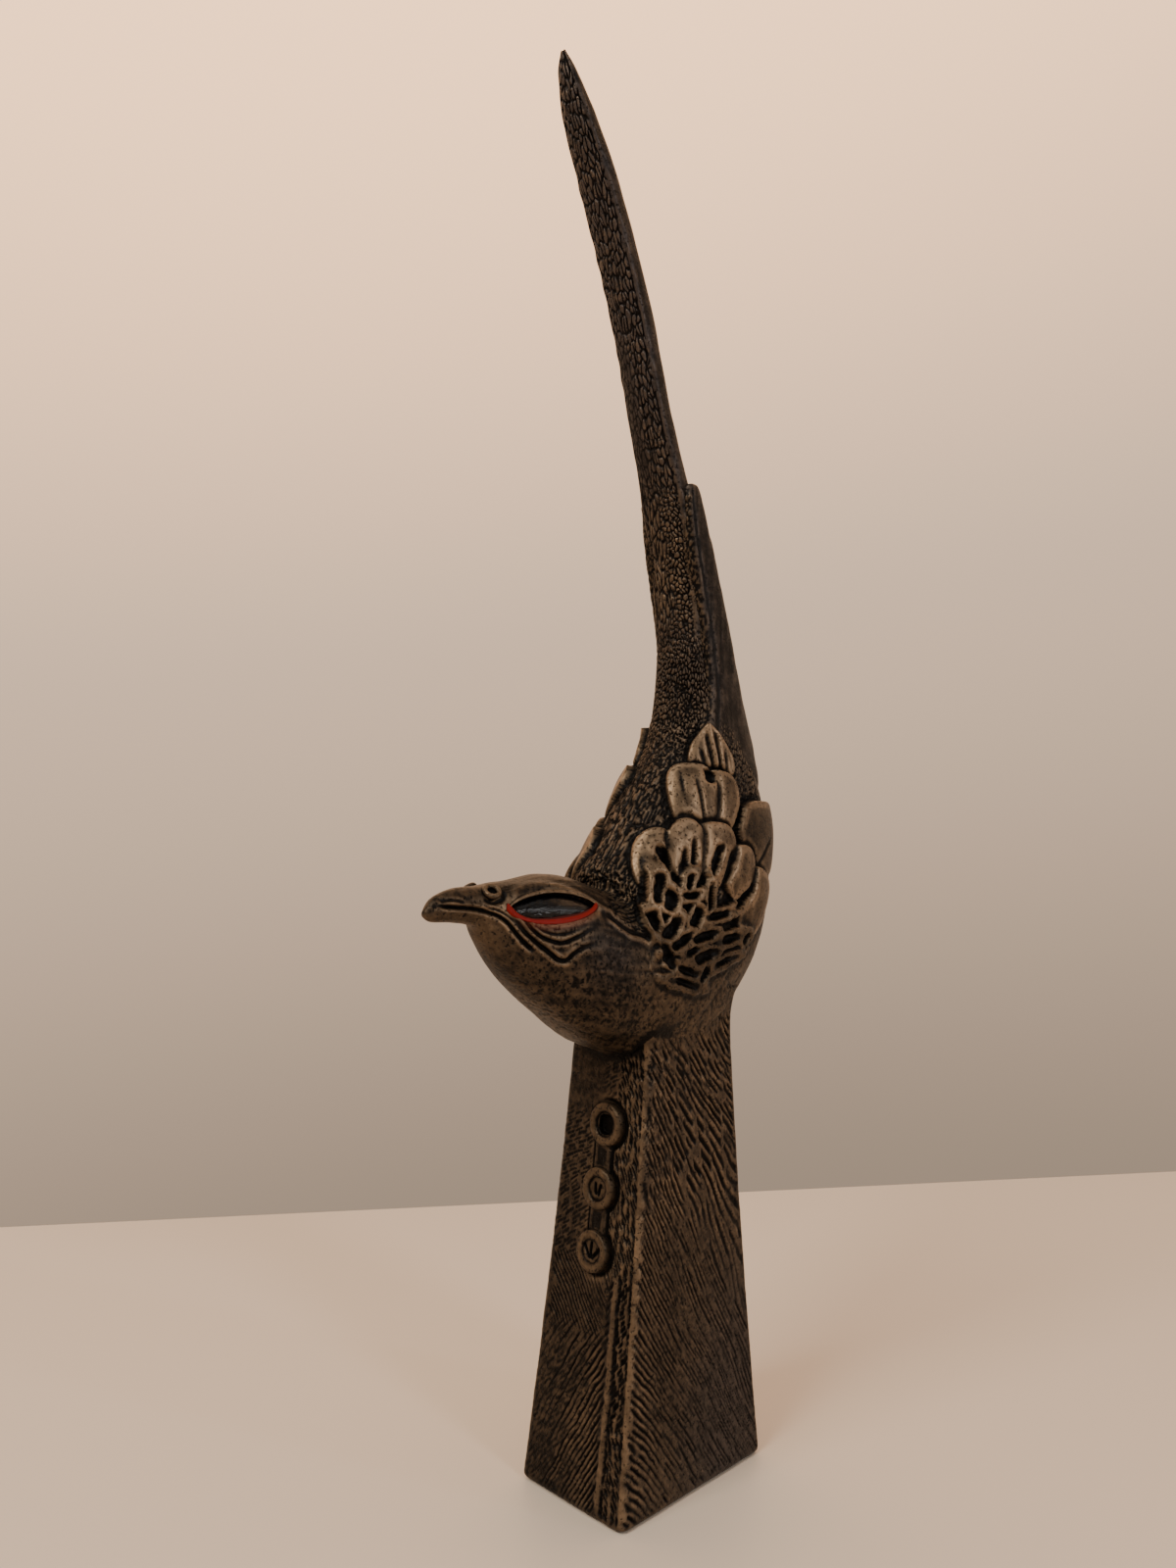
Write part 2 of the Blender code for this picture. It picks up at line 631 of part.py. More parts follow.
def tidied(obj):
    """Close the pockets that joining leaves, and bring the triangles down to the budget."""
    mesh = bmesh.new()
    mesh.from_mesh(obj.data)
    outer_shell(mesh)
    bmesh.ops.triangulate(mesh, faces=mesh.faces)
    count = len(mesh.faces)
    mesh.to_mesh(obj.data)
    mesh.free()
    bpy.context.scene.collection.objects.link(obj)
    fewer = obj.modifiers.new("fewer triangles", "DECIMATE")
    fewer.ratio = min(1.0, TRIANGLE_BUDGET / count)
    bpy.context.view_layer.update()
    data = bpy.data.meshes.new_from_object(obj.evaluated_get(bpy.context.evaluated_depsgraph_get()))
    obj.modifiers.clear()
    obj.data = data
    bpy.context.scene.collection.objects.unlink(obj)


def main():
    for obj in list(bpy.data.objects):
        bpy.data.objects.remove(obj)
    parts = bpy.data.collections.new("magpie")
    bpy.context.scene.collection.children.link(parts)

    sides = (1, -1)
    skin = skin_of([make_body("skin", SKIN_RINGS_PER_SPAN, SKIN_SEGMENTS)])
    winged_skin = skin_of([make_body("skin", SKIN_RINGS_PER_SPAN, SKIN_SEGMENTS)]
                          + [make_wing(side) for side in sides])
    casting = changed(make_column(), "DIFFERENCE", [make_barbs()], "barb grooves")
    body = make_body("body", RINGS_PER_SPAN, BODY_SEGMENTS)
    discs = [make_disc(COLUMN_HEIGHT - below, diameter, hole)
             for below, diameter, hole in zip(DISCS_BELOW_TOP, DISC_DIAMETERS, DISC_HOLES)]
    changed(casting, "UNION", [body, make_strap(), make_shaft()] + discs
            + [make_wing(side) for side in sides] + make_feathers(winged_skin)
            + [make_nostril(skin, side) for side in sides], "raised forms")
    tidied(casting)
    changed(casting, "DIFFERENCE", [make_socket(skin, side) for side in sides]
            + [make_mouth_cutter(skin, side) for side in sides], "sunk forms")

    eyes = [make_eye(name, skin, side) for name, side in zip(("eye_left", "eye_right"), sides)]
    bronze = material("bronze", (0.16, 0.10, 0.06), 0.45, 0.8)
    black = material("black glass", (0.01, 0.01, 0.012), 0.08, 0.0)
    for obj, finish in ((casting, bronze), (eyes[0], black), (eyes[1], black)):
        obj.data.materials.clear()
        obj.data.materials.append(finish)
        parts.objects.link(obj)
        obj.data.shade_smooth()
        obj.data.set_sharp_from_angle(angle=math.radians(35))


main()
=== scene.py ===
"""The bronze magpie on its column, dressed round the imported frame.

The casting's skin is rebuilt from the same sections as the solids, at the fineness of the carving,
and the carving is pushed into it by formulas: barbs on the column, squiggles on the back, wrinkles
round the eye and hollows in the feathers. Metres, +Z up. The bird faces -Y, its left side is +X.
"""

import logging
import math
from dataclasses import dataclass, field
from enum import Enum

import bpy
import numpy as np
from mathutils import Matrix, Vector
from mathutils.bvhtree import BVHTree


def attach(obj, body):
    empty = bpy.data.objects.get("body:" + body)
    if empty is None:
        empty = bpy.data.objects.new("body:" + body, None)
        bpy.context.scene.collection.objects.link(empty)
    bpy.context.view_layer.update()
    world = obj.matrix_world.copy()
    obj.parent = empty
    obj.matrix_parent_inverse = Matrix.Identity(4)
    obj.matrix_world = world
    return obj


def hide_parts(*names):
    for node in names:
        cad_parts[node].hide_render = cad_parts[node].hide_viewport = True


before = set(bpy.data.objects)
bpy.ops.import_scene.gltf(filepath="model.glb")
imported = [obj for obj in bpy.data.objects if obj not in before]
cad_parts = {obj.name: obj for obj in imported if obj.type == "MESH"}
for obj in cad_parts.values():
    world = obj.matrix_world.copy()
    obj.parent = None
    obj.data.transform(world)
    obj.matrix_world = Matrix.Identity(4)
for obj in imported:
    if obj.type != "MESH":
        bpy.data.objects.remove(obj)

log = logging.getLogger("magpie")
MM = 0.001
BODY = "root"
CASTING = "magpie_on_column"

Array = np.ndarray
# What a shader node's input may be given: a number, a colour or vector, or another socket.
Input = float | tuple[float, ...] | bpy.types.NodeSocket
# The fields that the finishes read off a piece, where it doesn't give them. The rub field holds rubbed
# wear, and in places painted shade and shadow too.
NO_FIELDS = {"proud": 0.0, "rub": 0.0, "slate": 0.0, "red": 0.0}


class Side(Enum):
    """The bird's own left and right, as the sign of X."""

    LEFT = 1
    RIGHT = -1

    @property
    def word(self) -> str:
        """The side's name in lower case."""
        return self.name.lower()


class Carving(Enum):
    """How the top of a wing feather is carved."""

    LEAF = "leaf with a shaft"
    LOBE = "round lobe with a short stroke"
    PAD = "smooth lobe"
    STROKED = "round top over a stroke and a hollow"
    ARCH = "arch over two long hollows"
    LEANING = "smooth leaning lobe with a gap beside it"
    PLAIN = "smooth pillow with a crease"


def smooth_between(values: Array, t: Array) -> Array:
    """Follow a Catmull-Rom curve through rows of values at t = 0, 1, 2 and so on.

    Args:
        values: One row for each knot.
        t: Where to read the curve, of any shape.

    Returns:
        The values there, with the shape of t and then that of a row.
    """
    last = len(values) - 1
    i = np.clip(np.floor(t).astype(int), 0, last - 1)
    f = (t - i)[(...,) + (None,) * (values.ndim - 1)]
    before, here = values[np.maximum(i - 1, 0)], values[i]
    after, beyond = values[i + 1], values[np.minimum(i + 2, last)]
    curve = 2 * before - 5 * here + 4 * after - beyond + f * (3 * (here - after) + beyond - before)
    return here + 0.5 * f * (after - before + f * curve)


def power(value: Array, exponent: Array | float) -> Array:
    """Raise the size of a value to a power and keep its sign."""
    return np.sign(value) * np.abs(value) ** exponent


def step(low: float | Array, high: float | Array, value: Array) -> Array:
    """Rise smoothly from 0 at low to 1 at high."""
    share = np.clip((value - low) / (high - low), 0.0, 1.0)
    return share * share * (3 - 2 * share)


def bell(value: Array, width: float | Array) -> Array:
    """A bump of height 1 at 0 that dies away over the width."""
    return np.exp(-((value / width) ** 2))


def hashed(cells: Array, seed: int) -> Array:
    """A number between 0 and 1 for each whole-number cell, the same in every run.

    Args:
        cells: Whole numbers, one row for each cell.
        seed: Which of many such fields is wanted.

    Returns:
        One number for each row.
    """
    primes = np.array([73856093, 19349663, 83492791], dtype=np.int64)[: cells.shape[-1]]
    mixed = (cells.astype(np.int64) * primes).sum(-1) + seed * 7919
    mixed = (mixed ^ (mixed >> 13)) * 1274126177 & 0xFFFFFFFF
    mixed = (mixed ^ (mixed >> 16)) * 668265263 & 0xFFFFFFFF
    return (mixed & 0xFFFF) / 65535.0


def noise(places: Array, seed: int) -> Array:
    """Smooth value noise between -1 and 1, with about one bump to a unit.

    Args:
        places: Coordinates in units of a bump, two or three to a row.
        seed: Which of many such fields is wanted.

    Returns:
        One number for each row.
    """
    base = np.floor(places).astype(np.int64)
    f = places - base
    f = f * f * (3 - 2 * f)
    total = np.zeros(places.shape[:-1])
    for corner in range(2 ** places.shape[-1]):
        offset = np.array([corner >> k & 1 for k in range(places.shape[-1])])
        weight = np.where(offset, f, 1 - f).prod(-1)
        total += weight * hashed(base + offset, seed)
    return 2 * total - 1


def wavy(a: Array | float, b: Array | float, wide: float, long: float, seed: int) -> Array:
    """Smooth noise over two directions.

    Args:
        a, b: Where the points are in the two directions.
        wide, long: The size of a bump in each.
        seed: Which of many such fields is wanted.

    Returns:
        One number between -1 and 1 for each point.
    """
    return noise(np.stack(np.broadcast_arrays(a / wide, b / long), -1), seed)


def cell_gap(places: Array, seed: int) -> Array:
    """How far places lie from the borders of irregular cells.

    Args:
        places: Coordinates in units of a cell, two to a row.
        seed: Which of many such fields is wanted.

    Returns:
        0 on a border, and more towards the middle of a cell.
    """
    base = np.floor(places).astype(np.int64)
    first = np.full(places.shape[:-1], 9.0)
    second = first.copy()
    for dx in (-1, 0, 1):
        for dy in (-1, 0, 1):
            cell = base + np.array([dx, dy])
            spot = cell + np.stack([hashed(cell, seed), hashed(cell, seed + 1)], -1)
            away = np.linalg.norm(spot - places, axis=-1)
            second = np.minimum(second, np.maximum(first, away))
            first = np.minimum(first, away)
    return second - first


def strips(across: Array, along: Array, wide: float, long: float, seed: int) -> Array:
    """Wriggling strips with grooves between them.

    Args:
        across, along: Where the points are, in metres.
        wide, long: The size of a strip.
        seed: Which of many such fields is wanted.

    Returns:
        0 on top of a strip and down to -1 in the grooves.
    """
    bend = 0.45 * wide * wavy(across, along, 2.2 * wide, 0.9 * long, seed)
    slip = 0.35 * long * wavy(across, along, 1.5 * wide, 1.2 * long, seed + 1)
    gap = cell_gap(np.stack([(across + bend) / wide, (along + slip) / long], -1), seed + 2)
    return step(0.02, 0.34, gap) - 1


def along_and_off(places: Array, curve: Array) -> tuple[Array, Array]:
    """Where places lie against a curve in a plane.

    Args:
        places: Points in the plane, one row each.
        curve: The curve's knots, one row each.

    Returns:
        How far along the nearest point of the curve is, from 0 to 1, and how far off it lies.
    """
    fine = smooth_between(curve, np.linspace(0, len(curve) - 1, 12 * (len(curve) - 1) + 1))
    best = np.full(places.shape[:-1], np.inf)
    along = np.zeros_like(best)
    for k, (a, b) in enumerate(zip(fine, fine[1:])):
        way = b - a
        share = np.clip(((places - a) @ way) / (way @ way), 0, 1)
        off = np.linalg.norm(places - a - share[..., None] * way, axis=-1)
        nearer = off < best
        best = np.where(nearer, off, best)
        along = np.where(nearer, (k + share) / (len(fine) - 1), along)
    return along, best


def even_turns(rings: Array, turns: Array, columns: int, weight: Array | float = 1.0) -> Array:
    """Find where to cut rings of points so that the steps along each are even.

    Args:
        rings: The points, one row for each ring, whose last point is its first.
        turns: The turn that each point of a ring stands at.
        columns: How many steps are wanted.
        weight: How much each stretch counts.

    Returns:
        The turns of the cuts, one row for each ring.
    """
    walk = np.cumsum(np.linalg.norm(np.diff(rings, axis=1), axis=-1) * weight, axis=1)
    walk = np.concatenate([np.zeros((len(rings), 1)), walk], 1)
    return np.stack([np.interp(np.linspace(0, w[-1], columns + 1)[:-1], w, turns) for w in walk])


@dataclass
class Part:
    """Loose mesh data: places, faces and values at the places."""

    places: Array
    faces: list[tuple[int, ...]]
    values: dict[str, Array]

    def turned_out(self) -> "Part":
        """Turn the faces of a closed part outwards.

        Returns:
            The same part with its faces that way.
        """
        middle = self.places.mean(0)
        volume = 0.0
        for count in (3, 4):
            faces = np.array([face for face in self.faces if len(face) == count], dtype=int)
            if len(faces):
                p = self.places[faces] - middle
                for k in range(1, count - 1):
                    volume += np.einsum("ij,ij->", p[:, 0], np.cross(p[:, k], p[:, k + 1]))
        faces = self.faces if volume > 0 else [tuple(reversed(face)) for face in self.faces]
        return Part(self.places, faces, self.values)

    @staticmethod
    def joined(parts: list["Part"]) -> "Part":
        """Put several parts into one, each still a shell of its own.

        Args:
            parts: The parts.

        Returns:
            The one part.
        """
        faces, first = [], 0
        for part in parts:
            faces += [tuple(first + i for i in face) for face in part.faces]
            first += len(part.places)
        names = parts[0].values.keys()
        return Part(
            np.concatenate([part.places for part in parts]),
            faces,
            {name: np.concatenate([part.values[name] for part in parts]) for name in names},
        )


@dataclass
class Grid:
    """Points of a surface in rows, each of which closes into a ring."""

    points: Array
    outward: float = 1.0
    relief: Array = field(init=False)

    def __post_init__(self) -> None:
        """Start with no relief, and find which way is out."""
        self.relief = np.zeros(self.points.shape[:2])
        middle = self.points.mean(1, keepdims=True)
        if (self.normals() * (self.points - middle)).sum() < 0:
            self.outward = -self.outward

    def normals(self) -> Array:
        """Unit normals, pointing out."""
        across = np.roll(self.points, -1, 1) - np.roll(self.points, 1, 1)
        normal = np.cross(across, np.gradient(self.points, axis=0)) * self.outward
        length = np.linalg.norm(normal, axis=-1, keepdims=True)
        return normal / np.maximum(length, 1e-15)

    def raise_by(self, lift: Array) -> None:
        """Push every point out by so much."""
        self.points = self.points + self.normals() * lift[..., None]

    def carve(self, relief: Array) -> None:
        """Push every point out by so much, less than nothing for a cut, and remember it."""
        self.raise_by(relief)
        self.relief = self.relief + relief

    def proud(self, reach: int, scale: float) -> Array:
        """How far the relief stands above (1) or below (-1) its surroundings.

        Args:
            reach: How many points each way count as the surroundings.
            scale: The difference that counts as 1, in metres.

        Returns:
            One number for each point.
        """
        mean = self.relief
        for axis, mode in ((1, "wrap"), (0, "edge")):
            widths = [(0, 0), (0, 0)]
            widths[axis] = (reach, reach)
            total = np.cumsum(np.pad(mean, widths, mode=mode), axis=axis)
            total = np.insert(total, 0, 0, axis=axis)
            size = 2 * reach + 1
            index = np.arange(mean.shape[axis])
            mean = (total.take(index + size, axis) - total.take(index, axis)) / size
        return np.clip((self.relief - mean) / scale, -1, 1)

    def part(self, **values: Array | float) -> Part:
        """Close the surface with a fan at each end, and turn it into mesh data.

        Args:
            values: Values of the finish's fields, by name. A field that isn't given is 0.

        Returns:
            The closed part.
        """
        shape = self.points.shape[:2]
        index = np.arange(shape[0] * shape[1]).reshape(shape)
        right = np.roll(index, -1, 1)
        quads = np.stack([index[:-1], right[:-1], right[1:], index[1:]], -1).reshape(-1, 4)
        places = self.points.reshape(-1, 3)
        faces = [tuple(face) for face in quads.tolist()]
        for ring, turned in ((index[0], True), (index[-1], False)):
            tip = len(places)
            places = np.vstack([places, self.points.reshape(-1, 3)[ring].mean(0)])
            pairs = zip(ring, np.roll(ring, -1))
            faces += [(b, a, tip) if turned else (a, b, tip) for a, b in pairs]
        fields = {name: np.append(np.broadcast_to(value, shape).ravel(), np.zeros(2))
                  for name, value in {**NO_FIELDS, **values}.items()}
        return Part(places, faces, fields).turned_out()


@dataclass
class Workshop:
    """Turns parts into pieces that ride on the frame, and looks after what they share."""

    pieces: list[bpy.types.Object] = field(default_factory=list)
    clearance: float = 0.06 * MM
    far_hit_share: float = 0.4

    def piece(self, name: str, part: Part, finish: bpy.types.Material, slot: str,
              *stands_for: str) -> bpy.types.Object:
        """Make one piece of the scene.

        Args:
            name: The piece's name.
            part: Its mesh data.
            finish: Its material.
            slot: A material slot's name; not used.
            stands_for: The CAD nodes that it's shown in place of.

        Returns:
            The object, riding on the body.
        """
        mesh = bpy.data.meshes.new(name)
        mesh.from_pydata(part.places.tolist(), [], part.faces)
        for key, value in part.values.items():
            attribute = mesh.attributes.new(key, "FLOAT", "POINT")
            attribute.data.foreach_set("value", value.astype(np.float32))
        mesh.materials.append(finish)
        mesh.shade_smooth()
        made = bpy.data.objects.new(name, mesh)
        bpy.context.scene.collection.objects.link(made)
        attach(made, BODY)
        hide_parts(*stands_for)
        self.pieces.append(made)
        triangles = sum(len(face) - 2 for face in part.faces)
        log.info("%s: %d triangles", name, triangles)
        return made

    def shade_crevices(self, reach: float, rings: tuple[tuple[float, int], ...]) -> None:
        """Store on every piece how open each point is, from 0 in a crevice to 1 in the open; the
        finishes paint shade where it is low.

        Args:
            reach: How far away a neighbour still counts.
            rings: Pairs of the angle from the normal in degrees and the number of lines there.
        """
        places, faces = [], []
        for made in self.pieces:
            first = len(places)
            count = len(made.data.vertices)
            co = np.empty(count * 3)
            made.data.vertices.foreach_get("co", co)
            places += co.reshape(-1, 3).tolist()
            faces += [[first + i for i in face.vertices] for face in made.data.polygons]
        tree = BVHTree.FromPolygons(places, faces)
        for made in self.pieces:
            count = len(made.data.vertices)
            co, normal = np.empty(count * 3), np.empty(count * 3)
            made.data.vertices.foreach_get("co", co)
            made.data.vertex_normals.foreach_get("vector", normal)
            co, normal = co.reshape(-1, 3), normal.reshape(-1, 3)
            helper = np.where(np.abs(normal[:, 2:]) < 0.9, [[0.0, 0.0, 1.0]], [[1.0, 0.0, 0.0]])
            east = np.cross(helper, normal)
            east /= np.maximum(np.linalg.norm(east, axis=1, keepdims=True), 1e-12)
            north = np.cross(normal, east)
            start = co + normal * self.clearance
            hits, lines = np.zeros(count), 0
            for tilt, turns in rings:
                up, out = math.cos(math.radians(tilt)), math.sin(math.radians(tilt))
                for k in range(turns):
                    turn = math.tau * (k + 0.5 * (lines % 2)) / turns
                    way = normal * up + (east * math.cos(turn) + north * math.sin(turn)) * out
                    cast = tree.ray_cast
                    found = [cast(a, b, reach)[3] for a, b in zip(start.tolist(), way.tolist())]
                    fall = 1 - self.far_hit_share
                    hits += [0.0 if d is None else 1.0 - fall * d / reach for d in found]
                    lines += 1
            attribute = made.data.attributes.new("open", "FLOAT", "POINT")
            attribute.data.foreach_set("value", (1 - hits / lines).astype(np.float32))


@dataclass(frozen=True)
class ColumnForm:
    """The tapering column: its sizes at the foot and the top, in metres."""

    height: float = 0.124
    base_width: float = 0.0390
    base_depth: float = 0.0614
    top_width: float = 0.0300
    top_depth: float = 0.0366
    flare: float = 1.25
    edge_radius: float = 0.0022
    into_bird: float = 0.012
    foot_radius: float = 0.0016

    def size(self, height: Array) -> tuple[Array, Array]:
        """The column's width and depth at heights above the floor."""
        share = np.maximum(0, 1 - height / (self.height + self.into_bird)) ** self.flare
        return (self.top_width + (self.base_width - self.top_width) * share,
                self.top_depth + (self.base_depth - self.top_depth) * share)

    def outside(self, places: Array) -> Array:
        """About how far places lie outside the column.

        Args:
            places: The points, one row each.

        Returns:
            Metres for each, negative inside the column.
        """
        width, depth = self.size(places[..., 2])
        x = np.abs(places[..., 0]) - width / 2 + self.edge_radius
        y = np.abs(places[..., 1]) - depth / 2 + self.edge_radius
        corner = np.hypot(np.maximum(x, 0), np.maximum(y, 0)) - self.edge_radius
        side = np.maximum(corner + np.minimum(np.maximum(x, y), 0), -1)
        return np.maximum(side, places[..., 2] - self.height - self.into_bird)


@dataclass(frozen=True)
class BirdForm:
    """The bird's sections: shares of its height, from the centre of the column's top."""

    height: float = 0.276
    foot: float = 0.124
    # dorsal forward, dorsal up, ventral forward, ventral up, half width, and the squareness of
    # the back, the breast and the sides
    stations: tuple[tuple[float, ...], ...] = (
        (0.3130, 0.1365, 0.3122, 0.1305, 0.0030, 2.0, 2.0, 2.0),    # beak tip
        (0.3035, 0.1480, 0.3040, 0.1265, 0.0088, 2.0, 2.0, 2.0),    # beak hook
        (0.2820, 0.1560, 0.2810, 0.1253, 0.0130, 2.0, 2.0, 2.0),    # beak middle
        (0.2536, 0.1585, 0.2575, 0.1207, 0.0181, 2.0, 2.0, 2.2),    # beak base
        (0.2337, 0.1615, 0.2455, 0.1040, 0.0261, 2.0, 2.0, 2.2),    # nostril
        (0.2101, 0.1645, 0.2255, 0.0800, 0.0370, 2.0, 2.0, 2.2),    # forehead
        (0.1812, 0.1690, 0.1985, 0.0562, 0.0500, 2.1, 2.0, 2.2),    # eye
        (0.1504, 0.1675, 0.1595, 0.0290, 0.0620, 2.1, 2.0, 2.2),    # hind crown
        (0.1196, 0.1590, 0.1100, -0.0015, 0.0690, 2.1, 2.0, 2.2),   # nape top
        (0.0960, 0.1540, 0.0435, -0.0181, 0.0725, 2.2, 2.0, 2.2),   # nape hollow
        (0.0930, 0.1742, -0.0240, -0.0181, 0.0745, 2.5, 2.0, 2.2),  # low back
        (0.0705, 0.2029, -0.0780, 0.0109, 0.0755, 2.6, 2.1, 2.2),   # shoulder
        (0.0470, 0.2391, -0.1290, 0.0652, 0.0750, 2.5, 2.4, 2.2),   # back
        (0.0210, 0.2754, -0.1510, 0.1304, 0.0710, 2.4, 2.7, 2.2),   # high back
        (-0.0010, 0.3116, -0.1510, 0.2029, 0.0625, 2.3, 2.9, 2.2),  # rump
        (-0.0127, 0.3514, -0.1290, 0.2862, 0.0500, 2.3, 3.0, 2.3),  # tail root
        (-0.0145, 0.4058, -0.0960, 0.3696, 0.0360, 2.8, 2.8, 2.6),  # under coverts
        (-0.0109, 0.4638, -0.0700, 0.4420, 0.0320, 3.0, 3.0, 2.8),  # low tail
        (-0.0010, 0.5217, -0.0460, 0.5109, 0.0300, 3.0, 3.0, 2.8),  # wing tips
        (0.0170, 0.5906, -0.0170, 0.5833, 0.0295, 3.0, 3.0, 2.8),   # tail
        (0.0420, 0.6630, 0.0110, 0.6594, 0.0255, 3.0, 3.0, 2.8),    # mid tail
        (0.0780, 0.7681, 0.0470, 0.7681, 0.0235, 3.0, 3.0, 2.8),    # high tail
        (0.1215, 0.8659, 0.0930, 0.8696, 0.0225, 2.8, 2.8, 2.6),    # upper tail
        (0.1530, 0.9275, 0.1290, 0.9348, 0.0190, 2.6, 2.6, 2.4),    # tail end
        (0.1710, 0.9728, 0.1560, 0.9783, 0.0115, 2.2, 2.2, 2.2),    # tail point
        (0.1735, 0.9982, 0.1700, 1.0000, 0.0020, 2.0, 2.0, 2.0),    # tail tip
    )
    # up, front, rear and outer edge of the long wing feathers' sections
    wing_stations: tuple[tuple[float, ...], ...] = (
        (0.5925, -0.0050, -0.0150, 0.0330), (0.5870, 0.0010, -0.0210, 0.0362),
        (0.5616, 0.0000, -0.0310, 0.0378), (0.5217, -0.0060, -0.0480, 0.0384),
        (0.4783, -0.0170, -0.0640, 0.0392), (0.4275, -0.0290, -0.0825, 0.0402),
        (0.3732, -0.0340, -0.0990, 0.0424), (0.3297, -0.0230, -0.1120, 0.0475),
        (0.2754, -0.0050, -0.1230, 0.0545), (0.2400, 0.0020, -0.1190, 0.0490),
    )
    wing_inner: float = 0.0090
    wing_square: float = 3.2

    @property
    def last(self) -> float:
        """The place of the tail's tip along the stations."""
        return len(self.stations) - 1.0

    def place(self, across: Array, forward: Array, up: Array) -> Array:
        """Points in metres from shares of the bird's height."""
        x, forward, up = np.broadcast_arrays(across, forward, up)
        shares = np.stack([x, -forward, up], -1)
        return shares * self.height + np.array([0, 0, self.foot])

    def shares(self, places: Array) -> tuple[Array, Array]:
        """How far forward and up places lie, as shares of the bird's height."""
        return -places[..., 1] / self.height, (places[..., 2] - self.foot) / self.height

    def skin(self, t: Array, angle: Array) -> Array:
        """Points of the skin.

        Args:
            t: Place along the stations, from 0 at the beak's tip.
            angle: Turn from the back line over the left side to the breast line, in radians.

        Returns:
            One point for each pair.
        """
        s = smooth_between(np.array(self.stations), t)
        back, breast = self.place(0.0, s[..., 0], s[..., 1]), self.place(0.0, s[..., 2], s[..., 3])
        square = np.where(np.cos(angle) > 0, s[..., 5], s[..., 6])
        point = (back + breast) / 2 + (back - breast) / 2 * power(np.cos(angle), 2 / square)[..., None]
        point[..., 0] = s[..., 4] * self.height * power(np.sin(angle), 2 / s[..., 7])
        return point

    def even_grid(self, first: float, last: float, pitch: float, columns: int,
                  fine_side: float = math.pi, coarse: float = 1.0) -> tuple[Grid, Array, Array]:
        """A grid of the skin with near even steps, round each section and from one to the next.

        Args:
            first, last: Where the grid starts and ends along the stations.
            pitch: Metres from row to row, on the carved side.
            columns: Points in each row.
            fine_side: How far round from the back line the carved side goes, in radians.
            coarse: How many times longer the steps are on the other side.

        Returns:
            The grid, each row's place along the stations, and each point's angle.
        """
        fine = np.linspace(first, last, 400)
        around = np.linspace(-fine_side, fine_side, 13)
        lines = self.skin(*np.meshgrid(fine, around, indexing="ij"))
        paces = np.linalg.norm(np.diff(lines, axis=0), axis=-1)
        length = np.concatenate([[0], np.cumsum(0.5 * paces.mean(1) + 0.5 * paces.max(1))])
        rows = max(8, round(length[-1] / pitch))
        t = np.interp(np.linspace(0, length[-1], rows + 1), length, fine)
        dense = np.linspace(0, math.tau, 1441)
        rings = self.skin(*np.meshgrid(t, dense, indexing="ij"))
        turned = math.pi - np.abs(dense[1:] - math.pi)
        weight = 1 + (1 / coarse - 1) * step(fine_side - 0.3, fine_side + 0.3, turned)
        angle = even_turns(rings, dense, columns, weight)
        return Grid(self.skin(t[:, None] + 0 * angle, angle)), t, angle

    def wing_ring(self, level: Array, angle: Array, side: Side) -> Array:
        """Points of a long wing feather.

        Args:
            level: Place along the wing's stations, from 0 at the round tip.
            angle: Turn round the section, in radians, from straight out.
            side: Which wing.

        Returns:
            One point for each pair.
        """
        up, front, rear, outer = np.moveaxis(smooth_between(np.array(self.wing_stations), level), -1, 0)
        x = (outer + self.wing_inner) / 2 + (outer - self.wing_inner) / 2 * power(
            np.cos(angle), 2 / self.wing_square)
        forward = (front + rear) / 2 + (front - rear) / 2 * power(np.sin(angle), 2 / self.wing_square)
        return self.place(side.value * x, forward, up)


class Skin:
    """A plain surface of the bird that lines are cast at, to seat things on it."""

    def __init__(self, grids: list[Grid]) -> None:
        """Build the search tree.

        Args:
            grids: The surfaces that count.
        """
        part = Part.joined([grid.part() for grid in grids])
        self.tree = BVHTree.FromPolygons(part.places.tolist(), part.faces)

    def hit(self, starts: Array, ways: Array) -> tuple[Array, Array]:
        """Cast lines at the surface.

        Args:
            starts: Where the lines start, one row each.
            ways: Their directions.

        Returns:
            The points that they hit and the normals there. A miss gives the start.
        """
        points, normals = [], []
        for start, way in zip(starts.reshape(-1, 3).tolist(), np.broadcast_to(
                ways, starts.shape).reshape(-1, 3).tolist()):
            point, normal, _, _ = self.tree.ray_cast(start, way)
            points.append(tuple(point) if point else start)
            normals.append(tuple(normal) if point else tuple(-np.array(way)))
        return np.array(points).reshape(starts.shape), np.array(normals).reshape(starts.shape)

    def signed(self, places: Array) -> Array:
        """How far places lie off the surface.

        Args:
            places: The points, one row each.

        Returns:
            Metres for each, negative inside the surface.
        """
        off = []
        for place in places.reshape(-1, 3).tolist():
            point, normal, _, gap = self.tree.find_nearest(place)
            inside = (Vector(place) - point).dot(normal) < 0
            off.append(-gap if inside else gap)
        return np.array(off).reshape(places.shape[:-1])


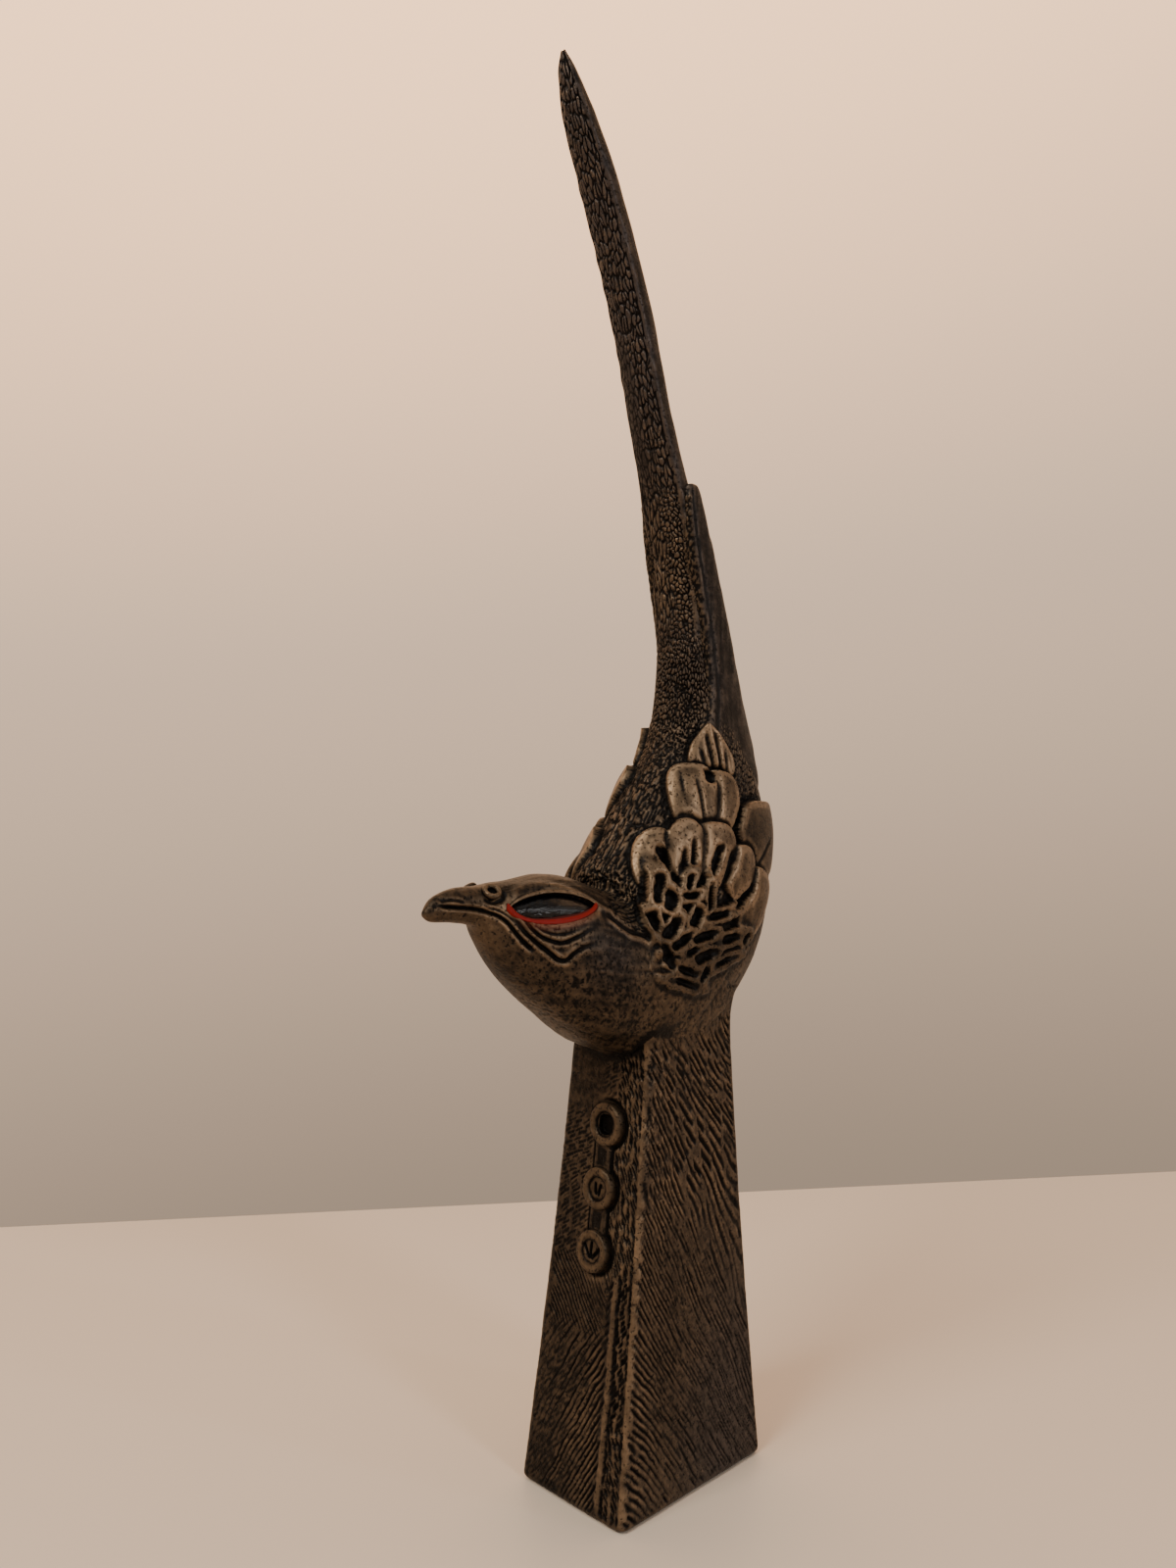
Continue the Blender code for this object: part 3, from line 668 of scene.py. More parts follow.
@dataclass(frozen=True)
class Line:
    """A groove or ridge along a curve on the bird's side, given as (forward, up) shares."""

    knots: tuple[tuple[float, float], ...]
    width: float
    depth: float
    lip: float = 0.35
    fade: float = 0.12

    def relief(self, forward: Array, up: Array, height: float) -> Array:
        """The line's relief, in metres.

        Args:
            forward, up: Where the points are, as shares of the bird's height.
            height: The bird's height.

        Returns:
            The depth of the cut, with a soft lip on both sides.
        """
        places = np.stack([forward, up], -1) * height
        low, high = np.min(self.knots, 0) * height, np.max(self.knots, 0) * height
        near = ((places > low - 6 * self.width) & (places < high + 6 * self.width)).all(-1)
        made = np.zeros(forward.shape)
        if near.any():
            along, off = along_and_off(places[near], np.array(self.knots) * height)
            ends = step(0, self.fade, along) * step(0, self.fade, 1 - along)
            ends = 0.06 + 0.94 * ends
            made[near] = -self.depth * ends * (
                bell(off, self.width) - self.lip * bell(off - 2 * self.width, self.width))
        return made


@dataclass(frozen=True)
class Face:
    """The lines carved on each side of the head."""

    mouth: Line = Line(((0.3060, 0.1408), (0.2815, 0.1394), (0.2617, 0.1370), (0.2470, 0.1325),
                        (0.2376, 0.1260), (0.2302, 0.1171), (0.2211, 0.1066), (0.2120, 0.0985)),
                       0.52 * MM, 1.05 * MM, 0.22, 0.10)
    beak_line: Line = Line(((0.3011, 0.1449), (0.2889, 0.1460), (0.2766, 0.1437)),
                           0.40 * MM, 0.30 * MM)
    lip_line: Line = Line(((0.2560, 0.1392), (0.2450, 0.1362), (0.2360, 0.1300), (0.2280, 0.1205),
                           (0.2195, 0.1105)), 0.34 * MM, 0.35 * MM, 0.5)
    deep_fold: Line = Line(((0.2400, 0.1372), (0.2306, 0.1274), (0.2221, 0.1171), (0.2132, 0.1081),
                            (0.1996, 0.0975), (0.1917, 0.0914), (0.1842, 0.0905), (0.1780, 0.0965),
                            (0.1683, 0.1023), (0.1560, 0.1060)), 0.52 * MM, 0.95 * MM, 0.26, 0.26)
    eye_fold: Line = Line(((0.2300, 0.1345), (0.2226, 0.1290), (0.2166, 0.1200), (0.2082, 0.1126),
                           (0.1980, 0.1085), (0.1890, 0.1070), (0.1780, 0.1108), (0.1680, 0.1151),
                           (0.1540, 0.1215)), 0.45 * MM, 0.75 * MM, 0.24, 0.30)
    lid_fold: Line = Line(((0.2190, 0.1270), (0.2100, 0.1195), (0.1960, 0.1150), (0.1800, 0.1165),
                           (0.1640, 0.1215)), 0.30 * MM, 0.24 * MM, 0.2, 0.4)
    cheek_crease: Line = Line(((0.1370, 0.1345), (0.1229, 0.1244), (0.1097, 0.1163), (0.0950, 0.1125),
                               (0.0830, 0.1060), (0.0740, 0.0930)), 0.75 * MM, 0.80 * MM, 0.45)
    brow: Line = Line(((0.2330, 0.1470), (0.2170, 0.1560), (0.1900, 0.1590), (0.1650, 0.1530),
                       (0.1450, 0.1420), (0.1250, 0.1300)), 0.95 * MM, -0.55 * MM, 0.35)
    nostril_groove: Line = Line(((0.2580, 0.1470), (0.2480, 0.1440), (0.2390, 0.1475), (0.2360, 0.1540)),
                                0.50 * MM, 0.45 * MM, 0.3)

    def relief(self, bird: BirdForm, places: Array) -> Array:
        """All the face's lines together, on both sides.

        Args:
            bird: The bird's form.
            places: The skin's points.

        Returns:
            The relief, in metres.
        """
        forward, up = bird.shares(places)
        total = np.zeros(forward.shape)
        for line in (self.mouth, self.beak_line, self.lip_line, self.deep_fold, self.eye_fold,
                     self.lid_fold, self.cheek_crease, self.brow, self.nostril_groove):
            total += line.relief(forward, up, bird.height)
        return total


@dataclass(frozen=True)
class EyeForm:
    """The almond eye in the side of the head. Place and outline are shares of the height."""

    forward: float = 0.1920
    up: float = 0.1406
    length: float = 0.0949
    opening: float = 0.0297
    drop_to_back: float = math.radians(5)
    sharpness: float = 1.5
    socket_depth: float = 3.0 * MM
    bulge: float = 1.5 * MM
    rim_below_skin: float = 1.5 * MM
    lid_width: float = 1.60 * MM
    lid_proud: float = 0.30 * MM

    def frame(self, bird: BirdForm, skin: Skin, side: Side) -> tuple[Array, Array, Array, Array]:
        """The eye's own frame.

        Args:
            bird: The bird's form.
            skin: The bird's plain skin.
            side: Which eye.

        Returns:
            Its middle on the skin, and unit vectors to the back corner, up and out.
        """
        middle = bird.place(np.array(0.0), np.array(self.forward), np.array(self.up))
        point, out = skin.hit(middle[None], np.array([[side.value, 0.0, 0.0]]))
        point, out = point[0], out[0] * np.sign(out[0][0] * side.value)
        back = np.array([0.0, math.cos(self.drop_to_back), -math.sin(self.drop_to_back)])
        back = back - out * (back @ out)
        back /= np.linalg.norm(back)
        up = np.cross(out, back) * side.value
        return point, back, up, out

    def edge(self, bird: BirdForm, back: Array) -> Array:
        """Half the eye's opening at distances towards the back corner from its middle."""
        half = self.length * bird.height / 2
        share = np.clip(1 - (back / half) ** 2, 0, 1)
        return self.opening * bird.height / 2 * share ** (self.sharpness / 2)


@dataclass(frozen=True)
class Feather:
    """A feather on the flank, in shares of the bird's height but for the azimuth in degrees."""

    tip_up: float
    azimuth: float
    length: float
    width: float
    taper: float
    lift: float
    carving: Carving


@dataclass(frozen=True)
class Hollow:
    """A hollow among the small feathers, between two ends given in shares of the bird's height."""

    start_forward: float
    start_up: float
    end_forward: float
    end_up: float
    millimetres_wide: float

    def outside(self, forward: Array, up: Array, height: float, seed: int) -> Array:
        """How far points lie outside the hollow, negative inside it.

        Args:
            forward, up: Where the points are.
            height: The bird's height.
            seed: Makes its outline its own.

        Returns:
            Metres from its edge.
        """
        width = self.millimetres_wide * MM
        across = (forward - (self.start_forward + self.end_forward) / 2) * height
        rise = (up - (self.start_up + self.end_up) / 2) * height
        half_across = (self.end_forward - self.start_forward) / 2 * height
        half_rise = (self.end_up - self.start_up) / 2 * height
        half = np.hypot(half_across, half_rise)
        along = (across * half_across + rise * half_rise) / half
        off = (across * half_rise - rise * half_across) / half
        off = off + 0.10 * width * np.sin(1.9 * along / half + 2.4 * seed)
        scale = ((np.abs(along) / half) ** 2.5 + (np.abs(off) / (width / 2)) ** 2.5) ** 0.4
        rough = noise(np.stack([across, rise], -1) / (1.5 * MM) + 7 * seed, 62)
        return (scale - 1) * width / 2 + 0.22 * MM * rough


class Nodes:
    """A short hand for placing and joining shader nodes in one tree."""

    def __init__(self, tree: bpy.types.NodeTree) -> None:
        """Work in this tree."""
        self.tree = tree

    def add(self, kind: str, settings: dict[str, object] | None = None,
            **inputs: Input) -> bpy.types.Node:
        """Add a node.

        Args:
            kind: The node's type, without ShaderNode.
            settings: Its properties by name.
            inputs: Values or sockets for its inputs, by name with _ for a space. A name such as
                i0 stands for the input at that place.

        Returns:
            The node.
        """
        node = self.tree.nodes.new("ShaderNode" + kind)
        for key, value in (settings or {}).items():
            setattr(node, key, value)
        return self.feed(node, **inputs)

    def feed(self, node: bpy.types.Node, **inputs: Input) -> bpy.types.Node:
        """Give a node's inputs values or sockets, named as for add.

        Args:
            node: The node.
            inputs: What its inputs get.

        Returns:
            The same node.
        """
        for key, value in inputs.items():
            name = int(key[1:]) if key[0] == "i" and key[1:].isdigit() else key.replace("_", " ")
            if isinstance(value, bpy.types.NodeSocket):
                self.tree.links.new(value, node.inputs[name])
            else:
                node.inputs[name].default_value = value
        return node

    def math(self, operation: str, a: Input, b: Input = 0.0,
             clamp: bool = False) -> bpy.types.NodeSocket:
        """The result of a sum over two values or sockets."""
        return self.add("Math", {"operation": operation, "use_clamp": clamp}, i0=a, i1=b).outputs[0]

    def plus(self, a: Input, b: Input, times: float,
             clamp: bool = False) -> bpy.types.NodeSocket:
        """Value a and so many times value b."""
        return self.math("ADD", a, self.math("MULTIPLY", b, times), clamp)

    def ramp(self, value: Input, low: float, high: float) -> bpy.types.NodeSocket:
        """A smooth rise from 0 at low to 1 at high."""
        node = self.add("MapRange", {"interpolation_type": "SMOOTHSTEP"}, Value=value,
                        From_Min=low, From_Max=high)
        return node.outputs["Result"]

    def mix(self, share: Input, a: Input, b: Input) -> bpy.types.NodeSocket:
        """Colour a turning into colour b.

        Args:
            share: From 0 for colour a to 1 for colour b.
            a, b: The two colours.

        Returns:
            The mixed colour.
        """
        node = self.tree.nodes.new("ShaderNodeMix")
        node.data_type = "RGBA"
        for name, value in (("Factor", share), ("A", a), ("B", b)):
            sockets = [s for s in node.inputs if s.name == name and s.enabled]
            if isinstance(value, bpy.types.NodeSocket):
                self.tree.links.new(value, sockets[0])
            else:
                sockets[0].default_value = value
        return next(s for s in node.outputs if s.enabled)

    def where(self) -> bpy.types.NodeSocket:
        """The object's own coordinates."""
        return self.add("TexCoord").outputs["Object"]

    def speckle(self, where: Input, scale: float, detail: float,
                rough: float = 0.5) -> bpy.types.NodeSocket:
        """Noise between 0 and 1 with so many bumps to a metre."""
        return self.add("TexNoise", None, Vector=where, Scale=scale, Detail=detail,
                        Roughness=rough).outputs[0]

    def bump(self, height: Input, distance: float,
             strength: float = 1.0) -> bpy.types.NodeSocket:
        """The normal of a surface that a height field raises by up to a distance."""
        return self.add("Bump", None, Strength=strength, Distance=distance,
                        Height=height).outputs["Normal"]


def new_finish(name: str) -> tuple[bpy.types.Material, Nodes, bpy.types.Node]:
    """Start a material.

    Args:
        name: Its name.

    Returns:
        The material, its nodes and its shader.
    """
    made = bpy.data.materials.new(name)
    made.use_nodes = True
    return made, Nodes(made.node_tree), made.node_tree.nodes["Principled BSDF"]


@dataclass(frozen=True)
class Patina:
    """The shared node group that ages bronze: dark in the hollows and rubbed bright where proud, with
    painted shade in the crevices.
    """

    recess: tuple[float, float, float] = (0.0042, 0.0036, 0.0034)
    umber: tuple[float, float, float] = (0.066, 0.0455, 0.0285)
    copper: tuple[float, float, float] = (0.270, 0.187, 0.118)
    slate: tuple[float, float, float] = (0.058, 0.047, 0.043)

    def build(self) -> bpy.types.NodeTree:
        """Make the group.

        Returns:
            A node group with inputs Proud, Open, Rub and Slate, and outputs Color, Roughness
            and Height.
        """
        tree = bpy.data.node_groups.new("patina", "ShaderNodeTree")
        for name in ("Proud", "Open", "Rub", "Slate"):
            tree.interface.new_socket(name, in_out="INPUT", socket_type="NodeSocketFloat")
        for name, kind in (("Color", "Color"), ("Roughness", "Float"), ("Height", "Float")):
            tree.interface.new_socket(name, in_out="OUTPUT", socket_type="NodeSocket" + kind)
        n = Nodes(tree)
        where = n.where()
        inside = tree.nodes.new("NodeGroupInput").outputs
        cloud = n.speckle(where, 70, 3)
        patch = n.speckle(where, 560, 4, 0.65)
        grain = n.speckle(where, 1700, 3, 0.6)
        pits = n.ramp(n.speckle(where, 1200, 2, 0.5), 0.42, 0.33)

        worn = n.math("MULTIPLY", inside["Proud"], 0.60)
        worn = n.plus(worn, n.math("SUBTRACT", patch, 0.5), 1.1)
        worn = n.plus(worn, n.math("SUBTRACT", cloud, 0.5), 0.7)
        worn = n.plus(n.math("ADD", worn, inside["Rub"]), pits, -0.35)
        bright = n.ramp(worn, 0.14, 1.40)
        dull = n.ramp(worn, -0.50, 0.26)
        painted_shade = n.ramp(inside["Open"], 0.90, 0.42)

        recess = (*self.recess, 1)
        colour = n.mix(dull, recess, (*self.umber, 1))
        colour = n.mix(inside["Slate"], colour, (*self.slate, 1))
        colour = n.mix(n.math("MULTIPLY", n.math("SUBTRACT", 1.0, dull), 0.85), colour, recess)
        colour = n.mix(bright, colour, (*self.copper, 1))
        # Painted shade: where the crevice rays found close surfaces, the colour goes to the recess
        # colour.
        colour = n.mix(n.math("MULTIPLY", painted_shade, 0.96), colour, recess)
        colour = n.mix(n.math("MULTIPLY", pits, 0.5), colour, recess)

        rough = n.plus(n.plus(0.33, grain, 0.24), bright, -0.08)
        rough = n.plus(rough, painted_shade, 0.20, True)
        height = n.plus(n.plus(n.math("MULTIPLY", grain, 0.30), patch, 0.70), pits, -0.50)
        n.feed(tree.nodes.new("NodeGroupOutput"), Color=colour, Roughness=rough, Height=height)
        return tree


@dataclass(frozen=True)
class BronzeFinish:
    """Patinated bronze for one piece or a few alike."""

    name: str
    rub: float
    slate: float
    metallic: float = 0.62
    bump: float = 0.22 * MM
    paint: bool = False
    thin_paint: tuple[float, float, float] = (0.115, 0.022, 0.012)

    def build(self, patina: bpy.types.NodeTree) -> bpy.types.Material:
        """Make the material.

        Args:
            patina: The shared node group.

        Returns:
            The material, which reads the proud, open, rub and slate fields of its piece.
        """
        made, n, shader = new_finish(self.name)
        read = {key: n.add("Attribute", {"attribute_name": key}).outputs["Fac"]
                for key in ("proud", "open", "rub", "slate")}
        group = n.tree.nodes.new("ShaderNodeGroup")
        group.node_tree = patina
        n.feed(group, Proud=read["proud"], Open=read["open"],
               Rub=n.math("ADD", read["rub"], self.rub),
               Slate=n.math("ADD", read["slate"], self.slate, True))
        colour = group.outputs["Color"]
        if self.paint:
            red = n.add("Attribute", {"attribute_name": "red"}).outputs["Fac"]
            colour = n.mix(red, colour, (*self.thin_paint, 1))
        n.feed(shader, Base_Color=colour, Roughness=group.outputs["Roughness"],
               Normal=n.bump(group.outputs["Height"], self.bump), Metallic=self.metallic,
               Specular_IOR_Level=0.16)
        return made


@dataclass(frozen=True)
class GlassFinish:
    """The gloss black of the eyes."""

    name: str = "black eye glass"
    colour: tuple[float, float, float] = (0.0016, 0.0016, 0.0022)

    def build(self) -> bpy.types.Material:
        """Make the material: black and wet looking, with fine dimples that break the highlights."""
        made, n, shader = new_finish(self.name)
        waves = n.speckle(n.where(), 780, 3, 0.6)
        n.feed(shader, Base_Color=(*self.colour, 1), Specular_IOR_Level=0.30,
               Roughness=n.plus(0.02, waves, 0.10), Normal=n.bump(waves, 0.35 * MM))
        return made


@dataclass(frozen=True)
class LidPaint:
    """The vermilion paint on the lower lids, with brush marks, brighter along each band's crest and
    darker towards its edges.
    """

    name: str = "vermilion lid paint"
    bright: tuple[float, float, float] = (0.150, 0.004, 0.002)
    dark: tuple[float, float, float] = (0.045, 0.005, 0.004)

    def build(self) -> bpy.types.Material:
        """Make the material."""
        made, n, shader = new_finish(self.name)
        brush = n.speckle(n.where(), 1100, 3, 0.6)
        edge = n.add("Attribute", {"attribute_name": "proud"}).outputs["Fac"]
        worn = n.ramp(n.plus(edge, brush, 1.3), 0.45, 1.15)
        n.feed(shader, Base_Color=n.mix(worn, (*self.dark, 1), (*self.bright, 1)),
               Roughness=n.plus(0.40, brush, 0.2), Normal=n.bump(brush, 0.2 * MM, 0.6),
               Specular_IOR_Level=0.14)
        return made


@dataclass
class Plumage:
    """The small wing feathers, tips up, row over row on both flanks."""

    bird: BirdForm
    axis_backward: float = 0.029
    base_lift: float = 0.0022
    border: float = 0.32 * MM
    feathers: tuple[Feather, ...] = (
        Feather(0.3320, 1, 0.0620, 0.0440, 0.75, 0.0080, Carving.LEAF),
        Feather(0.2520, 45, 0.0860, 0.0760, -0.10, 0.0085, Carving.PLAIN),
        Feather(0.2800, -3, 0.0740, 0.0560, -0.20, 0.0074, Carving.PAD),
        Feather(0.2860, -33, 0.0780, 0.0560, -0.16, 0.0088, Carving.LOBE),
        Feather(0.1780, 30, 0.0760, 0.0700, -0.18, 0.0076, Carving.PAD),
        Feather(0.2040, 12, 0.0640, 0.0520, -0.22, 0.0080, Carving.PAD),
        Feather(0.2240, -18, 0.0680, 0.0590, -0.26, 0.0085, Carving.LEANING),
        Feather(0.2150, -62, 0.0590, 0.0450, -0.22, 0.0080, Carving.STROKED),
        Feather(0.2270, -43, 0.0680, 0.0370, -0.24, 0.0088, Carving.ARCH),
    )
    # hollows with a ridge round them, and gaps with none
    hollows: tuple[Hollow, ...] = tuple(Hollow(*sizes) for sizes in (
        (0.0634, 0.1683, 0.0711, 0.1415, 2.9), (0.0289, 0.1690, 0.0377, 0.1545, 2.0),
        (0.0553, 0.1538, 0.0612, 0.1341, 4.0), (0.0438, 0.1472, 0.0236, 0.1508, 2.1),
        (0.0057, 0.1580, 0.0109, 0.1323, 2.1), (0.0245, 0.1379, 0.0327, 0.1174, 3.8),
        (0.0779, 0.1332, 0.0770, 0.1132, 3.0), (0.0505, 0.1266, 0.0705, 0.1078, 3.6),
        (0.0114, 0.1259, -0.0248, 0.1327, 2.3), (0.0611, 0.0991, 0.0327, 0.1106, 2.5),
        (0.0327, 0.1037, -0.0017, 0.1111, 2.8), (-0.0143, 0.1026, -0.0433, 0.1072, 2.8),
        (-0.0525, 0.0998, -0.0641, 0.1072, 2.5), (0.0406, 0.0909, 0.0195, 0.0968, 2.1),
        (0.0280, 0.0859, -0.0034, 0.0903, 3.3), (-0.0056, 0.0762, -0.0404, 0.0844, 2.0),
        (0.0527, 0.0784, 0.0251, 0.0711, 2.3), (0.0163, 0.0631, 0.0052, 0.0749, 2.7),
        (0.0548, 0.0654, 0.0233, 0.0582, 2.0)))
    gaps: tuple[Hollow, ...] = tuple(Hollow(*sizes) for sizes in (
        (-0.0304, 0.1317, -0.0680, 0.1594, 2.6), (0.0025, 0.1680, -0.0148, 0.2010, 3.5),
        (-0.0370, 0.2120, -0.0575, 0.2470, 2.4), (0.0500, 0.1985, 0.0530, 0.1704, 2.8),
        (-0.0170, 0.2800, -0.0150, 0.2640, 3.6), (0.0735, 0.1010, 0.0560, 0.0775, 3.2)))

    def carved(self, kind: Carving, x: Array, along: Array, scale: Array, seed: int) -> Array:
        """The relief on top of a feather, in metres.

        Args:
            kind: How it's carved.
            x: Across the feather, from -1 at its front edge to 1.
            along: From 0 at the tip to 1 at the base.
            scale: From 0 in the middle to 1 at the rim.
            seed: Tells one feather from the next.

        Returns:
            The relief.
        """
        dome = 1 - scale ** 2
        rough = noise(np.stack([x * 2.2 + seed, along * 3.1], -1), 40 + seed)
        fine = noise(np.stack([x * 6 + seed, along * 3.5], -1), 41 + seed)
        lower = step(0.35, 0.75, along)
        if kind is Carving.LEAF:
            strokes = bell(np.abs(x) - 0.20, 0.075) * step(0.12, 0.34, along)
            far = bell(np.abs(x) - 0.58, 0.09) * step(0.45, 0.6, along) * step(0.95, 0.8, along)
            foot = step(0.70, 0.92, along) * bell(x, 0.42)
            return MM * (0.35 * dome + 0.45 * bell(x, 0.08) - 0.95 * strokes
                         - 0.7 * far - 2.0 * foot + 0.15 * fine)
        if kind is Carving.LOBE:
            stroke = bell(x - 0.12 - 0.35 * (along - 0.3), 0.055)
            stroke = stroke * step(0.2, 0.3, along) * step(0.9, 0.75, along)
            short = bell(x + 0.42, 0.07) * bell(along - 0.33, 0.12)
            foot = bell(x + 0.25 - 0.9 * (along - 0.8), 0.20) * step(0.74, 0.9, along)
            return MM * (1.0 * dome - 0.65 * stroke - 0.45 * short - 1.2 * foot + 0.12 * rough
                         + 0.05 * fine)
        if kind is Carving.STROKED:
            stroke = bell(x - 0.05, 0.07) * step(0.28, 0.42, along)
            hollow = bell(x - 0.52, 0.20) * step(0.30, 0.5, along)
            foot = bell(x + 0.35, 0.14) * step(0.72, 0.86, along)
            return MM * (0.9 * dome - 0.7 * stroke - 1.7 * hollow - 0.8 * foot + 0.12 * rough)
        if kind is Carving.ARCH:
            hollows = bell(x + 0.12, 0.13) * step(0.42, 0.6, along)
            hollows = hollows + bell(x - 0.38, 0.12) * step(0.25, 0.45, along)
            ridges = bell(x + 0.62, 0.16) + bell(x - 0.78, 0.14) + 0.8 * bell(x - 0.14, 0.08)
            return MM * (0.7 * dome * (1 - lower) + 0.45 * ridges * lower - 1.7 * hollows
                         + 0.12 * rough)
        if kind is Carving.LEANING:
            gap = bell(x - 0.95 + 0.75 * (along - 0.35), 0.16) * step(0.35, 0.55, along)
            return MM * (0.9 * dome + 0.3 * bell(x + 0.75, 0.14) * lower - 2.0 * gap + 0.12 * rough)
        if kind is Carving.PAD:
            ridge = bell(x + 0.72, 0.13) * step(0.2, 0.5, along)
            crack = bell(x + 0.93, 0.09) * step(0.35, 0.6, along)
            return MM * (0.9 * dome + 0.3 * ridge - 0.9 * crack + 0.16 * rough + 0.10 * fine * lower)
        if kind is Carving.PLAIN:
            crease = bell(x * 0.7 + (along - 0.62) * 1.3, 0.05)
            return MM * (0.85 * dome - 0.5 * crease * step(0.45, 0.6, along) + 0.12 * rough)
        raise ValueError(kind)

    def net(self, forward: Array, up: Array, relief: Array) -> tuple[Array, Array, Array]:
        """Cut the hollows into the relief, with a shared ridge round them.

        Args:
            forward, up: Where the points are.
            relief: What is carved there so far, in metres.

        Returns:
            The new relief, how much of each point the net covers, and how worn it is.
        """
        flat = np.stack([forward, up], -1) * self.bird.height
        ridged, cut = np.full(up.shape, 9.0), np.full(up.shape, 9.0)
        for seed, hollow in enumerate(self.hollows + self.gaps):
            off = hollow.outside(forward, up, self.bird.height, seed)
            cut = np.minimum(cut, off)
            if seed < len(self.hollows):
                ridged = np.minimum(ridged, off)
        cover = step(2.1 * MM, 1.0 * MM, ridged + 0.45 * MM * noise(flat / (2.4 * MM), 64))
        grown = np.interp(up, [0.05, 0.09, 0.17], [0.5 * MM, 1.2 * MM, 2.5 * MM])
        plateau = step(0.0, 0.5 * MM, ridged) * (1 - 0.6 * step(0.7 * MM, 2.0 * MM, ridged))
        ridge = grown + (0.42 + 0.30 * noise(flat / (3.2 * MM), 66)) * MM * plateau
        relief = relief * (1 - cover) + np.maximum(ridge, 0.55 * relief) * cover
        inside = step(0.20 * MM, -0.75 * MM, cut)
        ends = np.interp(up, [0.05, 0.16], [1.7 * MM, 2.3 * MM])
        fine = 0.25 * MM * noise(flat / (0.9 * MM), 63)
        relief = relief - (ends + fine) * inside
        crest = bell(ridged - 0.40 * MM, 0.45 * MM)
        # Lighter on the upper rows of the net and darker on the lower ones.
        worn = 0.30 * noise(flat / (5 * MM), 65) + 0.20 * step(0.10, 0.14, up) - 0.12
        worn = worn * crest * cover
        worn = worn - (0.50 + 2.2 * fine / MM) * inside - 0.12 * (1 - crest) * cover
        worn = worn - 0.28 * step(0.125, 0.085, up) * cover
        return relief, np.maximum(cover, inside), worn

    def lay(self, places: Array, relief: Array) -> tuple[Array, Array, Array]:
        """Lay the feathers on the skin's relief, from the top row down.

        Args:
            places: The skin's points.
            relief: What is carved there so far, in metres.

        Returns:
            The new relief, how much of each point the feathers cover, and how worn they are.
        """
        height = self.bird.height
        forward, up = self.bird.shares(places)
        backward = -forward - self.axis_backward
        azimuth = np.degrees(np.arctan2(backward, np.abs(places[..., 0]) / height))
        radius = np.hypot(backward, np.abs(places[..., 0]) / height)
        cover, wear = np.zeros(up.shape), np.zeros(up.shape)
        relief = relief.copy()
        for seed, feather in enumerate(self.feathers, 1):
            turn = azimuth - feather.azimuth
            across = np.radians(turn) * radius / (feather.width / 2)
            along = (feather.tip_up - up) / feather.length
            near = (np.abs(across) < 1.5) & (np.abs(along - 0.5) < 0.7) & (np.abs(turn) < 60)
            if not near.any():
                continue
            x, a = across[near], along[near]
            down = 1 - 2 * a
            sideways = np.abs(x / (1 - feather.taper * np.clip(down, -1, 1)))
            scale = (np.abs(down) ** 2.2 + sideways ** 2.2) ** (1 / 2.2)
            wobble = noise(np.stack([x * 1.3 + 5 * seed, a * 2.4], -1), 60)
            scale = scale * (1 + 0.05 * wobble)
            soft = self.border / (feather.width * height / 2)
            edge = step(1 + soft, 1 - soft, scale)
            rise = (feather.lift - self.base_lift) * np.clip(1 - a, 0, 1)
            rim = height * (self.base_lift + rise)
            top = self.carved(feather.carving, x, a, np.clip(scale, 0, 1), seed)
            moat = bell(np.maximum(scale - 1, 0), 2.2 * soft) * (1 - edge)
            under = relief[near] * (1 - 0.35 * moat) - 0.35 * MM * moat
            relief[near] = under * (1 - edge) + (rim + top) * edge
            cover[near] = np.maximum(cover[near], np.maximum(edge, 0.8 * moat))
            worn = 0.30 + 0.12 * wobble - 0.25 * bell(scale - 1, 0.06)
            worn = worn - (0.20 if feather.carving is Carving.PLAIN else 0.0)
            wear[near] = wear[near] * (1 - edge) + worn * edge
        relief, netted, worn = self.net(forward, up, relief)
        return relief, np.maximum(cover, netted), wear * (1 - netted) + worn


